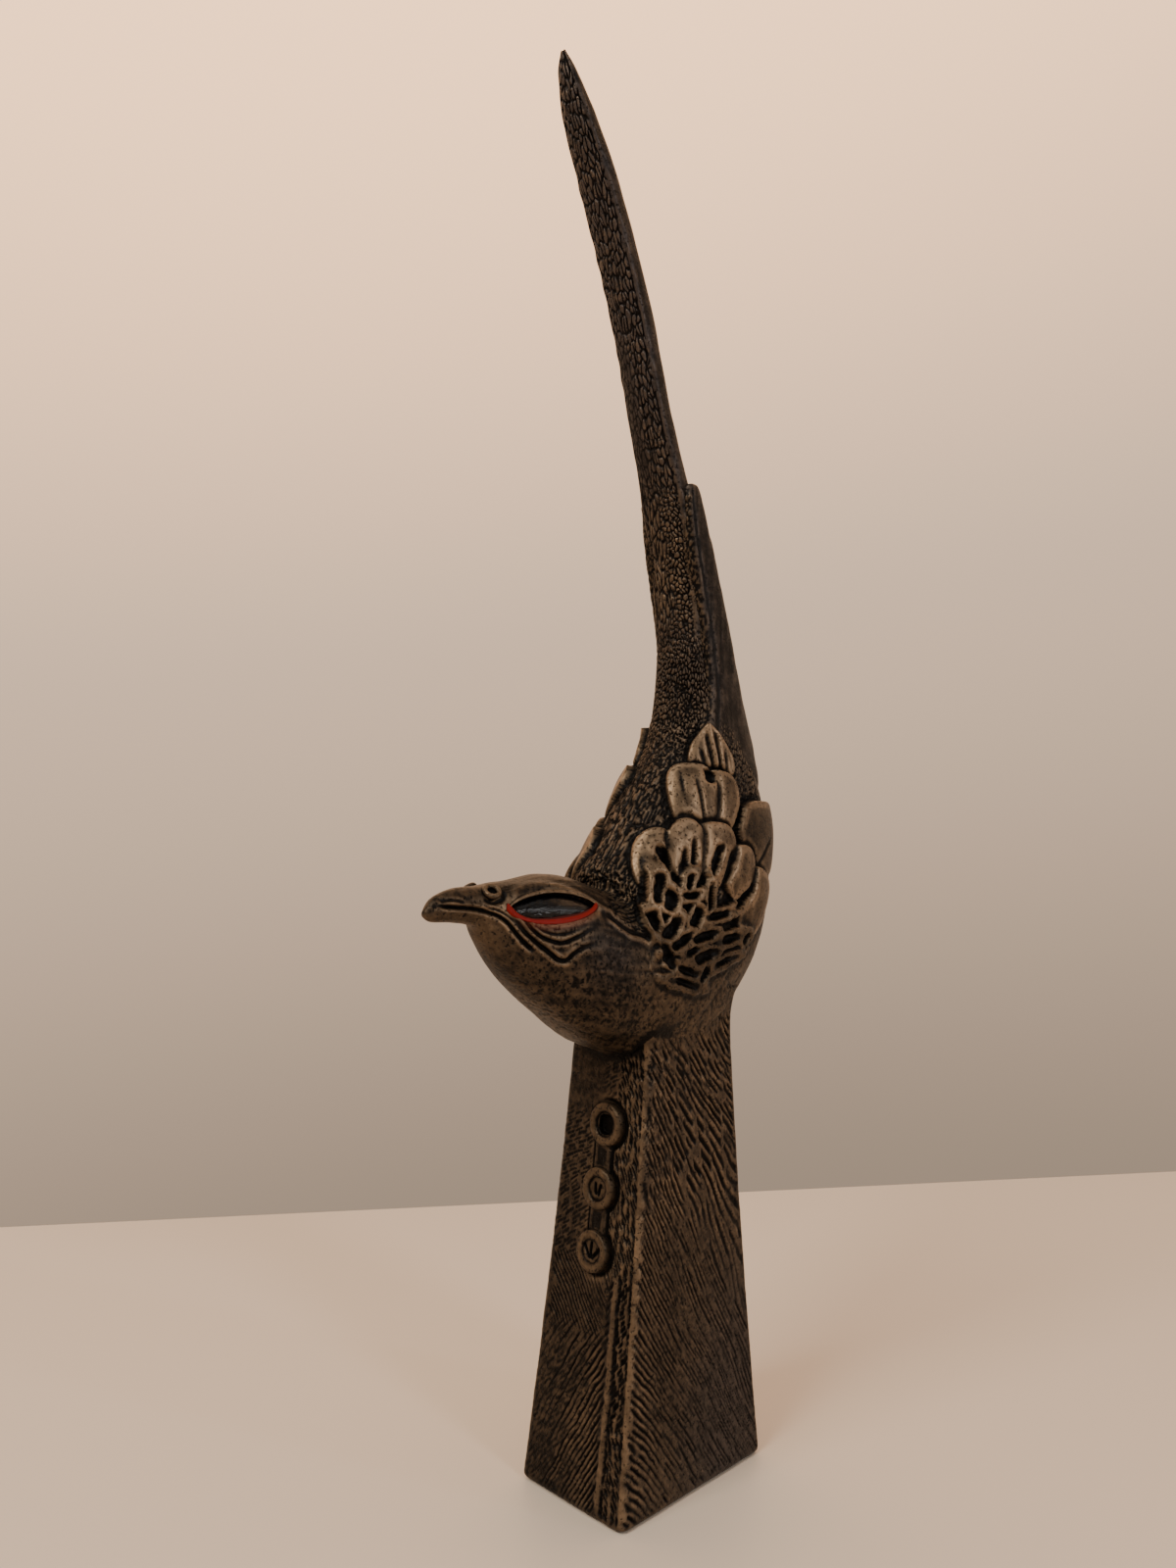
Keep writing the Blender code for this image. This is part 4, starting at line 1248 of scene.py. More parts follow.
@dataclass
class BirdBody:
    """The head, the torso and the tail, which are one skin shown in four overlapping pieces."""

    bird: BirdForm
    column: ColumnForm
    skin: Skin
    eye: EyeForm
    plumage: Plumage
    face: Face = Face()
    blend: float = 5.0 * MM
    overlap_rows: int = 5
    overlap_sink: float = 0.25 * MM
    # where along the stations each carving fades in, or out where the first is the higher
    leaning: tuple[float, float] = (14, 10)
    face_ends: tuple[float, float] = (10.2, 9.4)
    crown_ends: tuple[float, float] = (9.2, 8.0)
    strokes_start: tuple[float, float] = (4.5, 7)
    swells_start: tuple[float, float] = (7, 9)
    pits_start: tuple[float, float] = (4.6, 6)
    pits_end: tuple[float, float] = (15, 13)
    finer_start: tuple[float, float] = (12.5, 14.5)
    back_ends: tuple[float, float] = (17.3, 16.3)
    tail_starts: tuple[float, float] = (15.9, 16.9)

    def back_share(self, places: Array, angle: Array) -> Array:
        """How much of the squiggled back shows at points of the skin.

        Args:
            places: The points.
            angle: Each point's turn from the back line.

        Returns:
            From 0 for none to 1.
        """
        forward, up = self.bird.shares(places)
        limit = np.interp(
            up, [0.02, 0.06, 0.08, 0.10, 0.113, 0.117, 0.125, 0.134, 0.155, 0.175, 0.20, 0.24],
            [-0.09, 0.02, 0.045, 0.068, 0.084, 0.102, 0.119, 0.126, 0.121, 0.124, 0.135, 0.20])
        inside = step(-0.002, 0.004, limit - forward)
        turned = np.abs((angle + math.pi) % math.tau - math.pi)
        return inside * (1 - step(math.radians(92), math.radians(108), turned)) * step(0.03, 0.07, up)

    def tail_carving(self, across: Array, z: Array, half: Array) -> Array:
        """The carving on the tail's front, in metres.

        Args:
            across: Distance from the middle line.
            z: Height above the floor.
            half: Half the tail's width there.

        Returns:
            Long strips low on the tail with beads beside the left wing, and shorter strips above.
        """
        long = strips(across, z, 1.3 * MM, 4.6 * MM, 31)
        beads = strips(across, z, 1.35 * MM, 1.5 * MM, 34)
        small = strips(across, z, 1.2 * MM, 3.3 * MM, 37)
        right = step(-1.0 * MM, 2.5 * MM, across + 1.6 * MM * wavy(z, 0.0, 6 * MM, 1.0, 38))
        low = step(0.292, 0.276, z)
        field_ = low * (long * (1 - right) + 1.25 * beads * right) + (1 - low) * small
        calm = step(0.283, 0.292, z) * step(0.336, 0.322, z) * step(1.0 * MM, -2.0 * MM, across)
        field_ = field_ * (1 - 0.75 * calm)
        border = step(0.95, 0.84, np.abs(across) / half)
        groove = bell(across / half + 0.74, 0.10) * low
        shaft = bell(across - 0.8 * MM, 0.35 * MM) * step(0.288, 0.294, z) * step(0.322, 0.312, z)
        return MM * border * (0.64 * field_ - 0.12 - 0.40 * groove - 0.45 * shaft)

    def relief(self, grid: Grid, t: Array, angle: Array) -> dict[str, Array]:
        """Carve the skin.

        Args:
            grid: A grid of the plain skin.
            t: Each row's place along the stations.
            angle: Each point's angle.

        Returns:
            Fields for the finish: rub, slate and red.
        """
        places = grid.points
        forward, up = self.bird.shares(places)
        t = t[:, None] + 0 * angle
        pace = np.linalg.norm(np.diff(places, axis=1, append=places[:, :1]), axis=-1)
        walk = np.cumsum(pace, axis=1) - pace
        across = np.where(angle < math.pi, walk, walk - pace.sum(1, keepdims=True))
        z = places[..., 2]
        along = 0.92 * z - 0.38 * places[..., 1] * step(*self.leaning, t)

        back = self.back_share(places, angle) * step(*self.back_ends, t)
        worms = strips(across, along, 1.15 * MM, 2.5 * MM, 11)
        fine = strips(across, along, 0.9 * MM, 1.7 * MM, 14)
        finer = step(*self.finer_start, t)
        mixed = worms * (1 - finer) + fine * finer
        relief = back * MM * (0.82 * mixed - 0.10)

        half = smooth_between(np.array(self.bird.stations)[:, 4], t) * self.bird.height
        front = step(*self.tail_starts, t) * step(0, 0.3, np.cos(angle))
        relief = relief * (1 - front) + front * self.tail_carving(across, z, half)
        border = step(15.8, 17.4, t) * bell(np.abs(across) / half - 1.05, 0.12)
        relief += border * 0.22 * MM * (0.5 + wavy(0.0, z, 1.0, 3.5 * MM, 9))

        # Faint long strokes on the smooth sides and the rear, pits on the breast.
        smooth = 1 - np.maximum(back, front)
        strokes = wavy(across, along, 1.1 * MM, 9 * MM, 12)
        relief += smooth * 0.06 * MM * strokes * step(*self.strokes_start, t)
        relief += smooth * 0.14 * MM * noise(places / (5.5 * MM), 13) * step(*self.swells_start, t)
        turned = np.abs((angle + math.pi) % math.tau - math.pi)
        crown = step(1.9, 1.1, turned) * step(*self.crown_ends, t)
        relief += crown * 0.07 * MM * noise(np.stack([across / (0.8 * MM), forward * 276 / 7], -1), 15)
        pitted = smooth * step(*self.pits_start, t) * step(*self.pits_end, t) * (1 - crown)
        pits = noise(places / (0.66 * MM), 16) + 0.5 * noise(places / (2.6 * MM), 17)
        relief -= pitted * 0.16 * MM * step(0.15, 0.70, pits)

        relief += self.face.relief(self.bird, places) * step(*self.face_ends, t)
        relief += self.socket(places)
        relief, cover, wear = self.plumage.lay(places, relief)
        red = self.lid_blush(places)
        grid.carve(relief)

        lift = self.column.outside(grid.points)
        joint = np.clip(1 - np.abs(lift) / self.blend, 0, 1) ** 2 * self.blend / 4
        grid.raise_by(np.where(up < 0.05, joint, 0))
        slate = 0.75 * step(17, 21, t) + 0.25 * back * step(9, 11, t) + 0.25 * step(14, 17, t)
        slate = slate + 0.50 * bell(forward - 0.135, 0.028) * bell(up - 0.095, 0.03)
        rub = 0.10 * step(0.05, -0.02, up) * step(9, 6, t) - 0.22 * step(17, 20, t)
        rub = rub - 0.26 * back + 0.36 * bell(forward - 0.080, 0.03) * bell(up - 0.090, 0.03)
        # Painted shade: the crown is made darker against the light that falls on it from above; the beak
        # is made lighter.
        rub = rub - 0.16 * crown + 0.30 * step(0.225, 0.255, forward)
        rub = rub + 0.12 * smooth * step(0.12, 0.06, up) * step(0.12, 0.04, forward)
        # Painted shadow: a dark line on the skin just above the column's front, under the overhanging
        # breast.
        rub = rub - 1.0 * bell(lift - 0.6 * MM, 1.3 * MM) * step(-8 * MM, -14 * MM, grid.points[..., 1])
        rub = rub * (1 - cover) + wear
        return {"rub": rub, "slate": np.clip(slate, 0, 1) * (1 - cover), "red": red}

    def local(self, places: Array, side: Side) -> tuple[Array, Array, Array]:
        """Places in the eye's frame: towards the back corner, up and out."""
        middle, back, up, out = self.eye.frame(self.bird, self.skin, side)
        off = places - middle
        return off @ back, off @ up, off @ out

    def socket(self, places: Array) -> Array:
        """The hollows that the eyes sit in.

        Args:
            places: The skin's points.

        Returns:
            Their relief, in metres.
        """
        total = np.zeros(places.shape[:-1])
        for side in Side:
            back, up, out = self.local(places, side)
            edge = self.eye.edge(self.bird, back)
            near = (np.abs(out) < 9 * MM) & (edge > 0)
            inside = step(0.35 * MM, -0.35 * MM, np.abs(up) - edge)
            total -= np.where(near, inside, 0) * self.eye.socket_depth
        return total

    def lid_blush(self, places: Array) -> Array:
        """Where the red paint thins out below the lid.

        Args:
            places: The skin's points.

        Returns:
            From 0 for bare bronze to 1.
        """
        total = np.zeros(places.shape[:-1])
        for side in Side:
            back, up, out = self.local(places, side)
            half = self.eye.length * self.bird.height / 2
            edge = self.eye.edge(self.bird, back)
            below = -up - edge
            share = step(2.9 * MM, 0.3 * MM, below) * step(-1.5 * MM, 0, below)
            share = share * step(half * 1.02, half * 0.6, np.abs(back - 1.5 * MM))
            total += np.where(np.abs(out) < 9 * MM, 0.50 * share, 0)
        return total

    def parts(self) -> dict[str, Part]:
        """Build the four pieces.

        Returns:
            Their parts by name. Each runs on under the next, a hair lower, so no seam shows.
        """
        made = {}
        carved = math.radians(132)
        for name, first, last, pitch, columns, side, coarse, under_start, under_end in (
                ("head", 0.0, 8.75, 0.36 * MM, 330, carved, 1.7, False, True),
                ("lower_torso", 8.6, 12.62, 0.34 * MM, 330, carved, 2.2, False, True),
                ("upper_torso", 12.5, 16.05, 0.36 * MM, 330, carved, 2.0, False, False),
                ("tail", 15.9, self.bird.last, 0.36 * MM, 170, math.radians(100), 1.8, True, False)):
            grid, t, angle = self.bird.even_grid(first, last, pitch, columns, side, coarse)
            fields = self.relief(grid, t, angle)
            rows = np.arange(len(t))
            sink = np.zeros(len(t))
            if under_start:
                sink = sink + step(self.overlap_rows, 0, rows)
            if under_end:
                sink = sink + step(self.overlap_rows, 0, rows[::-1])
            grid.points = grid.points - grid.normals() * (self.overlap_sink * sink)[:, None, None]
            made[name] = grid.part(proud=grid.proud(5, 0.18 * MM), **fields)
        return made


@dataclass
class Wings:
    """The long wing feathers that clasp the root of the tail."""

    bird: BirdForm
    rows: int = 190
    columns: int = 96

    def part(self, side: Side) -> Part:
        """One long feather: smooth outside, and carved like the tail along its front.

        Args:
            side: Which wing.

        Returns:
            Its part.
        """
        last = len(self.bird.wing_stations) - 1
        level = last * np.linspace(0, 1, self.rows) ** 1.25
        dense = np.linspace(0, math.tau, 721)
        rings = self.bird.wing_ring(*np.meshgrid(level, dense, indexing="ij"), side)
        angle = even_turns(rings, dense, self.columns)
        grid = Grid(self.bird.wing_ring(level[:, None] + 0 * angle, angle, side))
        x, y, z = np.moveaxis(grid.points, -1, 0)
        level = level[:, None] + 0 * z
        streak = wavy(y, z, 0.9 * MM, 13 * MM, 21)
        relief = MM * (0.07 * streak + 0.14 * noise(grid.points / (4.5 * MM), 22))
        front = step(0.55, 0.9, np.sin(angle)) * step(0.8, 1.8, level)
        beads = strips(side.value * x, z, 1.3 * MM, 1.7 * MM, 24)
        relief = relief * (1 - front) + front * MM * (0.42 * beads - 0.05)
        line = bell(np.sin(angle) - 0.42, 0.07) * step(0.6, 1.6, level) * (np.cos(angle) > 0)
        relief = relief - 0.22 * MM * line * (1 + 0.5 * wavy(z, 0.0, 5 * MM, 1.0, 23))
        ring = bell(z - z[0, 0] + 4.5 * MM, 0.9 * MM) * step(0.2, 0.7, np.sin(angle))
        grid.carve(relief + 0.30 * MM * ring)
        rub = -0.26 + 0.22 * bell(level - 0.6, 0.7) + 0.10 * front
        return grid.part(proud=grid.proud(4, 0.16 * MM), rub=rub, slate=0.60 - 0.5 * front)


@dataclass(frozen=True)
class Trinket:
    """A round trinket: its place below the column's top and across it, sizes and grooves' angles."""

    below_top: float
    across: float
    diameter: float
    hole: float
    grooves: tuple[float, ...]
    dish: float


@dataclass
class Column:
    """The column, with its barbs, rib, strap and trinkets."""

    form: ColumnForm
    skin: Skin
    blend: float = 5.0 * MM
    rib_across: float = 9.6 * MM
    disc_across: float = 1.1 * MM
    disc_proud: float = 2.0 * MM
    rim_share: float = 0.44
    strap_width: float = 5.6 * MM
    strap_proud: float = 0.7 * MM
    pitch: float = 0.40 * MM
    split: float = 62.0 * MM
    columns: tuple[int, ...] = (108, 160, 40, 72)
    corner_steps: int = 5
    # heights where each carving fades in, or out where the first is the higher
    long_barbs_end: tuple[float, float] = (64 * MM, 58 * MM)
    chunks_start: tuple[float, float] = (64 * MM, 90 * MM)
    block_starts: tuple[float, float] = (43 * MM, 47 * MM)
    block_ends: tuple[float, float] = (66 * MM, 60 * MM)
    calm_starts: tuple[float, float] = (98 * MM, 106 * MM)
    trinkets: tuple[Trinket, ...] = (
        Trinket(23.3 * MM, 2.1 * MM, 12.0 * MM, 5.2 * MM, (), 0.9 * MM),
        Trinket(40.9 * MM, 1.1 * MM, 11.4 * MM, 0.0, (75.0, 95.0), 0.8 * MM),
        Trinket(57.7 * MM, 0.9 * MM, 11.2 * MM, 0.0, (50.0, 90.0, 125.0), 0.45 * MM),
    )

    def grid(self, low: float, high: float) -> tuple[Grid, Array]:
        """A band of the plain column.

        Args:
            low, high: Where the band starts and ends above the floor.

        Returns:
            Its grid from low to high, and which face each column of points lies on: 0 front,
            1 left, 2 rear and 3 right.
        """
        form = self.form
        radius = form.foot_radius
        height = np.linspace(max(low, radius), high, round((high - low) / self.pitch))
        if low < radius:
            foot = radius * (1 - np.cos(np.linspace(0, math.pi / 2, 5)[:-1]))
            height = np.concatenate([foot, height])
        inset = radius - np.sqrt(np.maximum(radius ** 2 - np.maximum(radius - height, 0) ** 2, 0))
        width, depth = form.size(height)
        half = np.stack([width / 2 - inset, depth / 2 - inset], -1) - form.edge_radius
        corners = np.array([[-1, -1], [1, -1], [1, 1], [-1, 1]])
        ring, faces = [], []
        for face in range(4):
            here, there = corners[face], corners[(face + 1) % 4]
            turn = math.radians(225 + 90 * face) + math.radians(90) * (
                np.arange(self.corner_steps + 1) / (self.corner_steps + 1) - 0.5)
            out = np.array([[0, -1], [1, 0], [0, 1], [-1, 0]])[face]
            for angle in turn[1:]:
                rounded = np.array([math.cos(angle), math.sin(angle)])
                ring.append(here * half + form.edge_radius * rounded)
                faces.append(face)
            for share in np.linspace(0, 1, self.columns[face]):
                ring.append((here + (there - here) * share) * half + form.edge_radius * out)
                faces.append(face)
        flat = np.stack(ring, 1)
        points = np.concatenate(
            [flat, np.broadcast_to(height[:, None, None], flat.shape[:2] + (1,))], -1)
        return Grid(points), np.array(faces)

    def barbs(self, off: Array, height: Array, slope: Array, pitch: float, reach: float,
              seed: int) -> Array:
        """Rows of carved barbs that come down from an edge.

        Args:
            off: Distance from the edge that the barbs start at.
            height: Height above the floor.
            slope: The barbs' slope, as a tangent.
            pitch: From barb to barb, up the edge.
            reach: How long the barbs are.
            seed: Which of many such fields is wanted.

        Returns:
            0 on a barb's top and down to -1 in the grooves between.
        """
        sway = wavy(off, height, 9 * MM, 11 * MM, seed) * 0.45
        sway = sway + wavy(off, height, 2.4 * MM, 3.0 * MM, seed + 1) * 0.13
        phase = (height + off * slope) / pitch + sway
        number = np.round(phase)
        own = hashed(np.stack([number, 0 * number], -1), seed + 2)
        length = reach * (0.45 + 0.75 * own)
        start = 2.2 * MM * hashed(np.stack([number, 1 + 0 * number], -1), seed + 3)
        across = np.abs(phase - number)
        wide = 0.15 + 0.13 * step(11 * MM, 1 * MM, off)
        wide = wide + 0.08 * noise(np.stack([off / (3 * MM), number * 1.7], -1), seed + 4)
        groove = 1 - step(0.35 * wide, 1.25 * wide, across)
        strength = step(start - 0.5 * MM, start + 0.6 * MM, off)
        strength = strength * (1 - 0.85 * step(0.45 * length, length, off))
        broken = 0.80 + 0.65 * noise(np.stack([off / (2.2 * MM), number * 3.3], -1), seed + 5)
        return -groove * strength * np.clip(broken, 0, 1)

    def dashes(self, off: Array, height: Array, slope: Array, pitch: float, long: float,
               thick: float, seed: int, loose: float = 0.22) -> Array:
        """Short strokes along a slope, on a smooth ground.

        Args:
            off: Distance from an edge.
            height: Height above the floor.
            slope: The slope downwards with off, as a tangent.
            pitch: From one line of strokes to the next, up the edge.
            long: The longest stroke, measured across.
            thick: A stroke's width as a share of the pitch.
            seed: Which of many such fields is wanted.
            loose: How much the strokes wriggle.

        Returns:
            0 on the ground and down to -1 in the strokes.
        """
        sway = wavy(off, height, 13 * MM, 16 * MM, seed) * 0.7
        sway = sway + wavy(off, height, 2.2 * MM, 2.8 * MM, seed + 1) * loose
        phase = (height + off * slope) / pitch + sway
        line = np.round(phase)
        run = off / long + 7 * hashed(np.stack([line, 0 * line], -1), seed + 2)
        piece = np.floor(run)
        inside = run - piece
        own = [hashed(np.stack([line, piece], -1), seed + 3 + k) for k in range(4)]
        start, end = 0.25 * own[0], 0.55 + 0.45 * own[1]
        window = step(start - 0.05, start + 0.07, inside) * step(end + 0.07, end - 0.07, inside)
        wide = thick * (0.6 + 0.8 * own[2])
        groove = 1 - step(0.35 * wide, 1.3 * wide, np.abs(phase - line))
        return -groove * window * (0.35 + 0.65 * own[3])

    def face_relief(self, face: Array, x: Array, y: Array, z: Array) -> Array:
        """The relief of the four faces, in metres.

        Args:
            face: Which face each point lies on.
            x, y, z: Where the points are.

        Returns:
            The relief.
        """
        width, depth = self.form.size(z)
        total = np.zeros(z.shape)
        from_edge = (z + 1.2 * (depth / 2 + y)) / MM
        slope = np.tan(np.radians(np.interp(from_edge, [20, 48, 78, 100, 135], [43, 49, 57, 57, 46])))
        for number, strength in ((1, 1.0), (3, 0.8)):
            here = face == number
            off = depth / 2 + y
            main = self.barbs(off, z, slope, 2.25 * MM, 40 * MM, 100 + number)
            hair = self.dashes(off, z, slope, 1.15 * MM, 21 * MM, 0.24, 120 + number, 0.06)
            longer = self.dashes(off, z, slope, 2.3 * MM, 13 * MM, 0.20, 125 + number, 0.10)
            chunks = self.dashes(off, z, slope, 2.3 * MM, 8.0 * MM, 0.28, 130 + number, 0.10)
            more = self.dashes(off, z, slope * 0.9, 1.9 * MM, 2.8 * MM, 0.36, 140 + number)
            near = step(19 * MM, 4 * MM, off)
            high = step(*self.chunks_start, z)
            relief = 0.72 * main * near + (0.15 * hair + 0.38 * longer) * (1 - near)
            relief = relief + 0.14 * main * (1 - near)
            relief = relief * (1 - high) + high * (0.80 * chunks + 0.34 * more * near + 0.46 * longer)
            total = np.where(here, MM * relief * strength, total)

        # The front: a rib with barbs down both sides, and chips beside the trinkets.
        here = face == 0
        rib = self.rib_across + 0.55 * MM * wavy(z, 0.0, 11 * MM, 1.0, 140)
        left = rib - x
        low = step(*self.long_barbs_end, z)
        lean = np.tan(np.radians(np.interp(z, [10 * MM, 40 * MM], [60, 51])))
        barbs = self.barbs(left, z, lean, 2.5 * MM, 22 * MM, 150)
        faint = self.dashes(left, z, 0.9 + 0 * z, 1.7 * MM, 4.5 * MM, 0.30, 152)
        block = self.barbs(x + 15 * MM, z, 1.25 + 0 * z, 1.9 * MM, 40 * MM, 160)
        fine = self.dashes(left, z, 0.62 + 0 * z, 1.25 * MM, 3.8 * MM, 0.34, 165)
        blocked = step(*self.block_starts, z) * step(*self.block_ends, z) * step(8.4 * MM, 6.6 * MM, x)
        calm = step(*self.calm_starts, z) * step(3 * MM, -2 * MM, x)
        relief = (0.66 * barbs + 0.16 * faint) * low * (1 - blocked) + 0.56 * block * blocked
        relief = MM * (relief + 0.36 * fine * (1 - low) * (1 - calm) * (1 - blocked))

        strip = x - rib
        lean = np.where(z > 24 * MM, -1.0, 1.1)
        chips = self.dashes(x + 9 * MM, z, lean, 1.75 * MM, 2.6 * MM, 0.42, 170)
        between = step(0.7 * MM, 1.5 * MM, strip) * step(1.3 * MM, 2.4 * MM, width / 2 - x)
        relief = relief * (1 - between) + between * MM * (1.0 * chips - 0.25)
        chunks = self.dashes(x + 15 * MM, z, 1.5 + 0 * z, 1.9 * MM, 2.3 * MM, 0.40, 171)
        edge = self.disc_across + self.strap_width / 2
        right = (1 - low) * step(edge + 0.8 * MM, edge + 1.8 * MM, x)
        right = right * step(1.2 * MM, 2.2 * MM, width / 2 - x)
        relief = relief * (1 - right) + right * MM * (0.90 * chunks - 0.05)
        ridge = bell(left, 0.85 * MM) * low
        relief = relief * (1 - 0.7 * ridge) + 0.36 * MM * ridge * step(2 * MM, 7 * MM, z)
        total = np.where(here, relief, total)

        # The rear, plainer: a middle rib with barbs down both sides.
        barbs = self.barbs(np.abs(x), z, 0.95 + 0 * z, 3.1 * MM, 22 * MM, 180)
        total = np.where(face == 2, MM * (0.5 * barbs + 0.6 * bell(x, 1.1 * MM)), total)

        # The edges of the four faces stay proud, a little wavy, and so does the foot.
        inward = np.where((face == 0) | (face == 2), width / 2 - np.abs(x), depth / 2 - np.abs(y))
        wave = 1 + 0.45 * noise(np.stack([z / (4.5 * MM), 0 * z + face], -1), 190)
        border = bell(inward, 1.05 * MM * wave)
        total = total * (1 - border) + 0.10 * MM * border * (wave - 0.7)
        total = total * step(0.4 * MM, 3.0 * MM, z)
        grain = noise(np.stack([x, y, z], -1) / (7 * MM), 191)
        rough = noise(np.stack([x, y, z], -1) / (1.3 * MM), 192)
        return total + 0.10 * MM * grain + 0.05 * MM * rough

    def strap_and_moats(self, face: Array, x: Array, z: Array, relief: Array) -> Array:
        """Lay the strap on the front's relief, and sink a dark line round it and the trinkets.

        Args:
            face: Which face each point lies on.
            x, z: Where the points are.
            relief: What is carved there so far, in metres.

        Returns:
            The new relief.
        """
        heights = [self.form.height - trinket.below_top for trinket in self.trinkets]
        off = x - self.disc_across
        edge = np.abs(off) - self.strap_width / 2
        between = step(heights[-1] - 1 * MM, heights[-1], z) * step(heights[0] + 1 * MM, heights[0], z)
        flat = step(0.35 * MM, -0.35 * MM, edge) * between
        moat = bell(edge - 0.55 * MM, 0.45 * MM) * between
        for trinket, height in zip(self.trinkets, heights):
            away = np.hypot(x - trinket.across, z - height) - trinket.diameter / 2
            shade = 0.35 + 0.65 * step(-3 * MM, 3 * MM, off)
            moat = np.maximum(moat, bell(np.maximum(away, 0) - 0.3 * MM, 0.85 * MM) * shade)
            moat = np.maximum(moat, 2.4 * step(-0.5 * MM, -1.6 * MM, away))
        wear = 0.10 * MM * wavy(x, z, 1.3 * MM, 2.5 * MM, 195)
        laid = relief * (1 - flat) * (1 - np.minimum(moat, 1)) + (self.strap_proud + wear) * flat
        laid = laid - 0.85 * MM * moat * (1 - flat * (moat < 1))
        return np.where(face == 0, laid, relief)

    def band(self, low: float, high: float) -> Part:
        """One band of the column.

        Args:
            low, high: Where it starts and ends above the floor.

        Returns:
            Its part.
        """
        grid, faces = self.grid(low, high)
        x, y, z = np.moveaxis(grid.points, -1, 0)
        face = faces[None, :] + 0 * z
        relief = self.face_relief(face, x, y, z)
        relief = self.strap_and_moats(face, x, z, relief)
        width, depth = self.form.size(z)
        high_up = z > 92 * MM
        off = np.full(z.shape, 1.0)
        if high_up.any():
            off[high_up] = self.skin.signed(grid.points[high_up])
        calm = step(0.0, 4.0 * MM, off)
        # Painted shadow: the column's front darkens in a line just under the overhanging breast.
        crease = bell(off - 0.8 * MM, 1.1 * MM) * (face == 0)
        grid.carve(relief * (0.25 + 0.75 * calm))
        joint = np.clip(1 - np.abs(off) / self.blend, 0, 1) ** 2 * self.blend / 4
        joint = joint * (1 - 0.8 * (face == 0))
        grid.raise_by(joint)
        grid.points[..., 2] = np.maximum(grid.points[..., 2], 0)
        corner = bell(width / 2 - x, 1.2 * MM) * bell(depth / 2 + y, 1.2 * MM)
        # Lighter along the near corner and over the whole left face, and a little darker on that face
        # away from its front edge.
        rub = -0.10 + 0.14 * corner * step(120 * MM, 80 * MM, z) + 0.16 * (face == 1)
        strap = (face == 0) * (np.abs(x - self.disc_across) < self.strap_width / 2)
        rub = rub - 0.45 * strap * (z > self.form.height - self.trinkets[-1].below_top) * (z < 100 * MM)
        rub = rub + 0.06 * bell(x - self.rib_across, 1.3 * MM) * (face == 0) * step(64 * MM, 56 * MM, z)
        rub = rub - 0.04 * (face == 1) * step(4 * MM, 30 * MM, depth / 2 + y) - 1.3 * crease
        slate = 0.75 * (face == 1) * step(14 * MM, 42 * MM, depth / 2 + y) * step(75 * MM, 15 * MM, z)
        return grid.part(proud=grid.proud(5, 0.22 * MM), rub=rub, slate=slate + 0.12)

    def parts(self) -> dict[str, Part]:
        """The column's two bands, which overlap by a few rows, one a hair lower."""
        top = self.form.height + self.form.into_bird
        lower = self.band(0.0, self.split + 0.6 * MM)
        upper = self.band(self.split - 0.6 * MM, top)
        inside = lower.places[:, 2] > self.split - 0.1 * MM
        lower.places[inside, :2] *= 0.985
        return {"lower_column": lower, "upper_column": upper}

    def disc(self, trinket: Trinket) -> Part:
        """One round trinket.

        Args:
            trinket: Its sizes.

        Returns:
            A closed disc: a round rim, and a dish that is plain, holed or grooved.
        """
        radius = trinket.diameter / 2
        rim = radius * self.rim_share / 2
        floor = self.disc_proud - trinket.dish
        turns = np.linspace(0, math.pi, 13)
        distance = np.concatenate([[radius * 0.96, radius], radius - rim + rim * np.cos(turns[1:]),
                                   np.linspace(radius - 2 * rim, 0.02 * radius, 22)[1:]])
        rise = floor + trinket.dish * np.sin(turns[1:])
        lift = np.concatenate([[-1.2 * MM, 0.0], rise, np.full(21, floor)])
        angle = np.linspace(0, math.tau, 97)[:-1]
        r, a = np.meshgrid(distance, angle, indexing="ij")
        lift = np.broadcast_to(lift[:, None], r.shape).copy()
        u, v = r * np.cos(a), r * np.sin(a)
        inner = r < radius - 2 * rim
        # How much of each point lies in the hole or a groove, where shade is painted.
        dark = np.zeros(r.shape)
        if trinket.hole:
            edge = r + 0.25 * MM * noise(np.stack([np.cos(a), np.sin(a)], -1) * 1.6, 198)
            dark = step(trinket.hole / 2 + 0.35 * MM, trinket.hole / 2 - 0.15 * MM, edge)
            lift -= 1.6 * MM * dark
        else:
            lift += np.where(inner, 0.25 * MM * (1 - (r / (radius - 2 * rim)) ** 2), 0)
        for tilt in trinket.grooves:
            way = np.array([math.cos(math.radians(tilt)), math.sin(math.radians(tilt))])
            fan = len(trinket.grooves) == 3
            shift = 0.0 if fan else 0.75 * MM * math.copysign(1, tilt - 85)
            foot = -2.3 * MM if fan else 0.0
            along = u * way[0] + (v - foot) * way[1]
            off = -u * way[1] + (v - foot) * way[0] - shift
            low, high = (0.5 * MM, 5.0 * MM) if fan else (-1.7 * MM, 1.7 * MM)
            cut = bell(off, 0.40 * MM) * step(low - 0.3 * MM, low + 0.6 * MM, along) * step(
                high + 0.3 * MM, high - 0.7 * MM, along)
            cut = cut * step(radius - 1.2 * rim, radius - 2 * rim, r)
            lift -= 0.95 * MM * cut
            dark = np.maximum(dark, cut)
        uneven = noise(np.stack([u, v, 0 * u + trinket.below_top], -1) / (1.7 * MM), 196)
        lift += np.where(lift > 0, 0.09 * MM * uneven, 0)
        height = self.form.height - trinket.below_top
        depth = self.form.size(np.array([height, height + 1 * MM]))[1] / 2
        lean = np.array([0, depth[0] - depth[1], 1 * MM])
        lean /= np.linalg.norm(lean)
        out = np.array([0, -lean[2], lean[1]])
        middle = np.array([trinket.across, -depth[0], height])
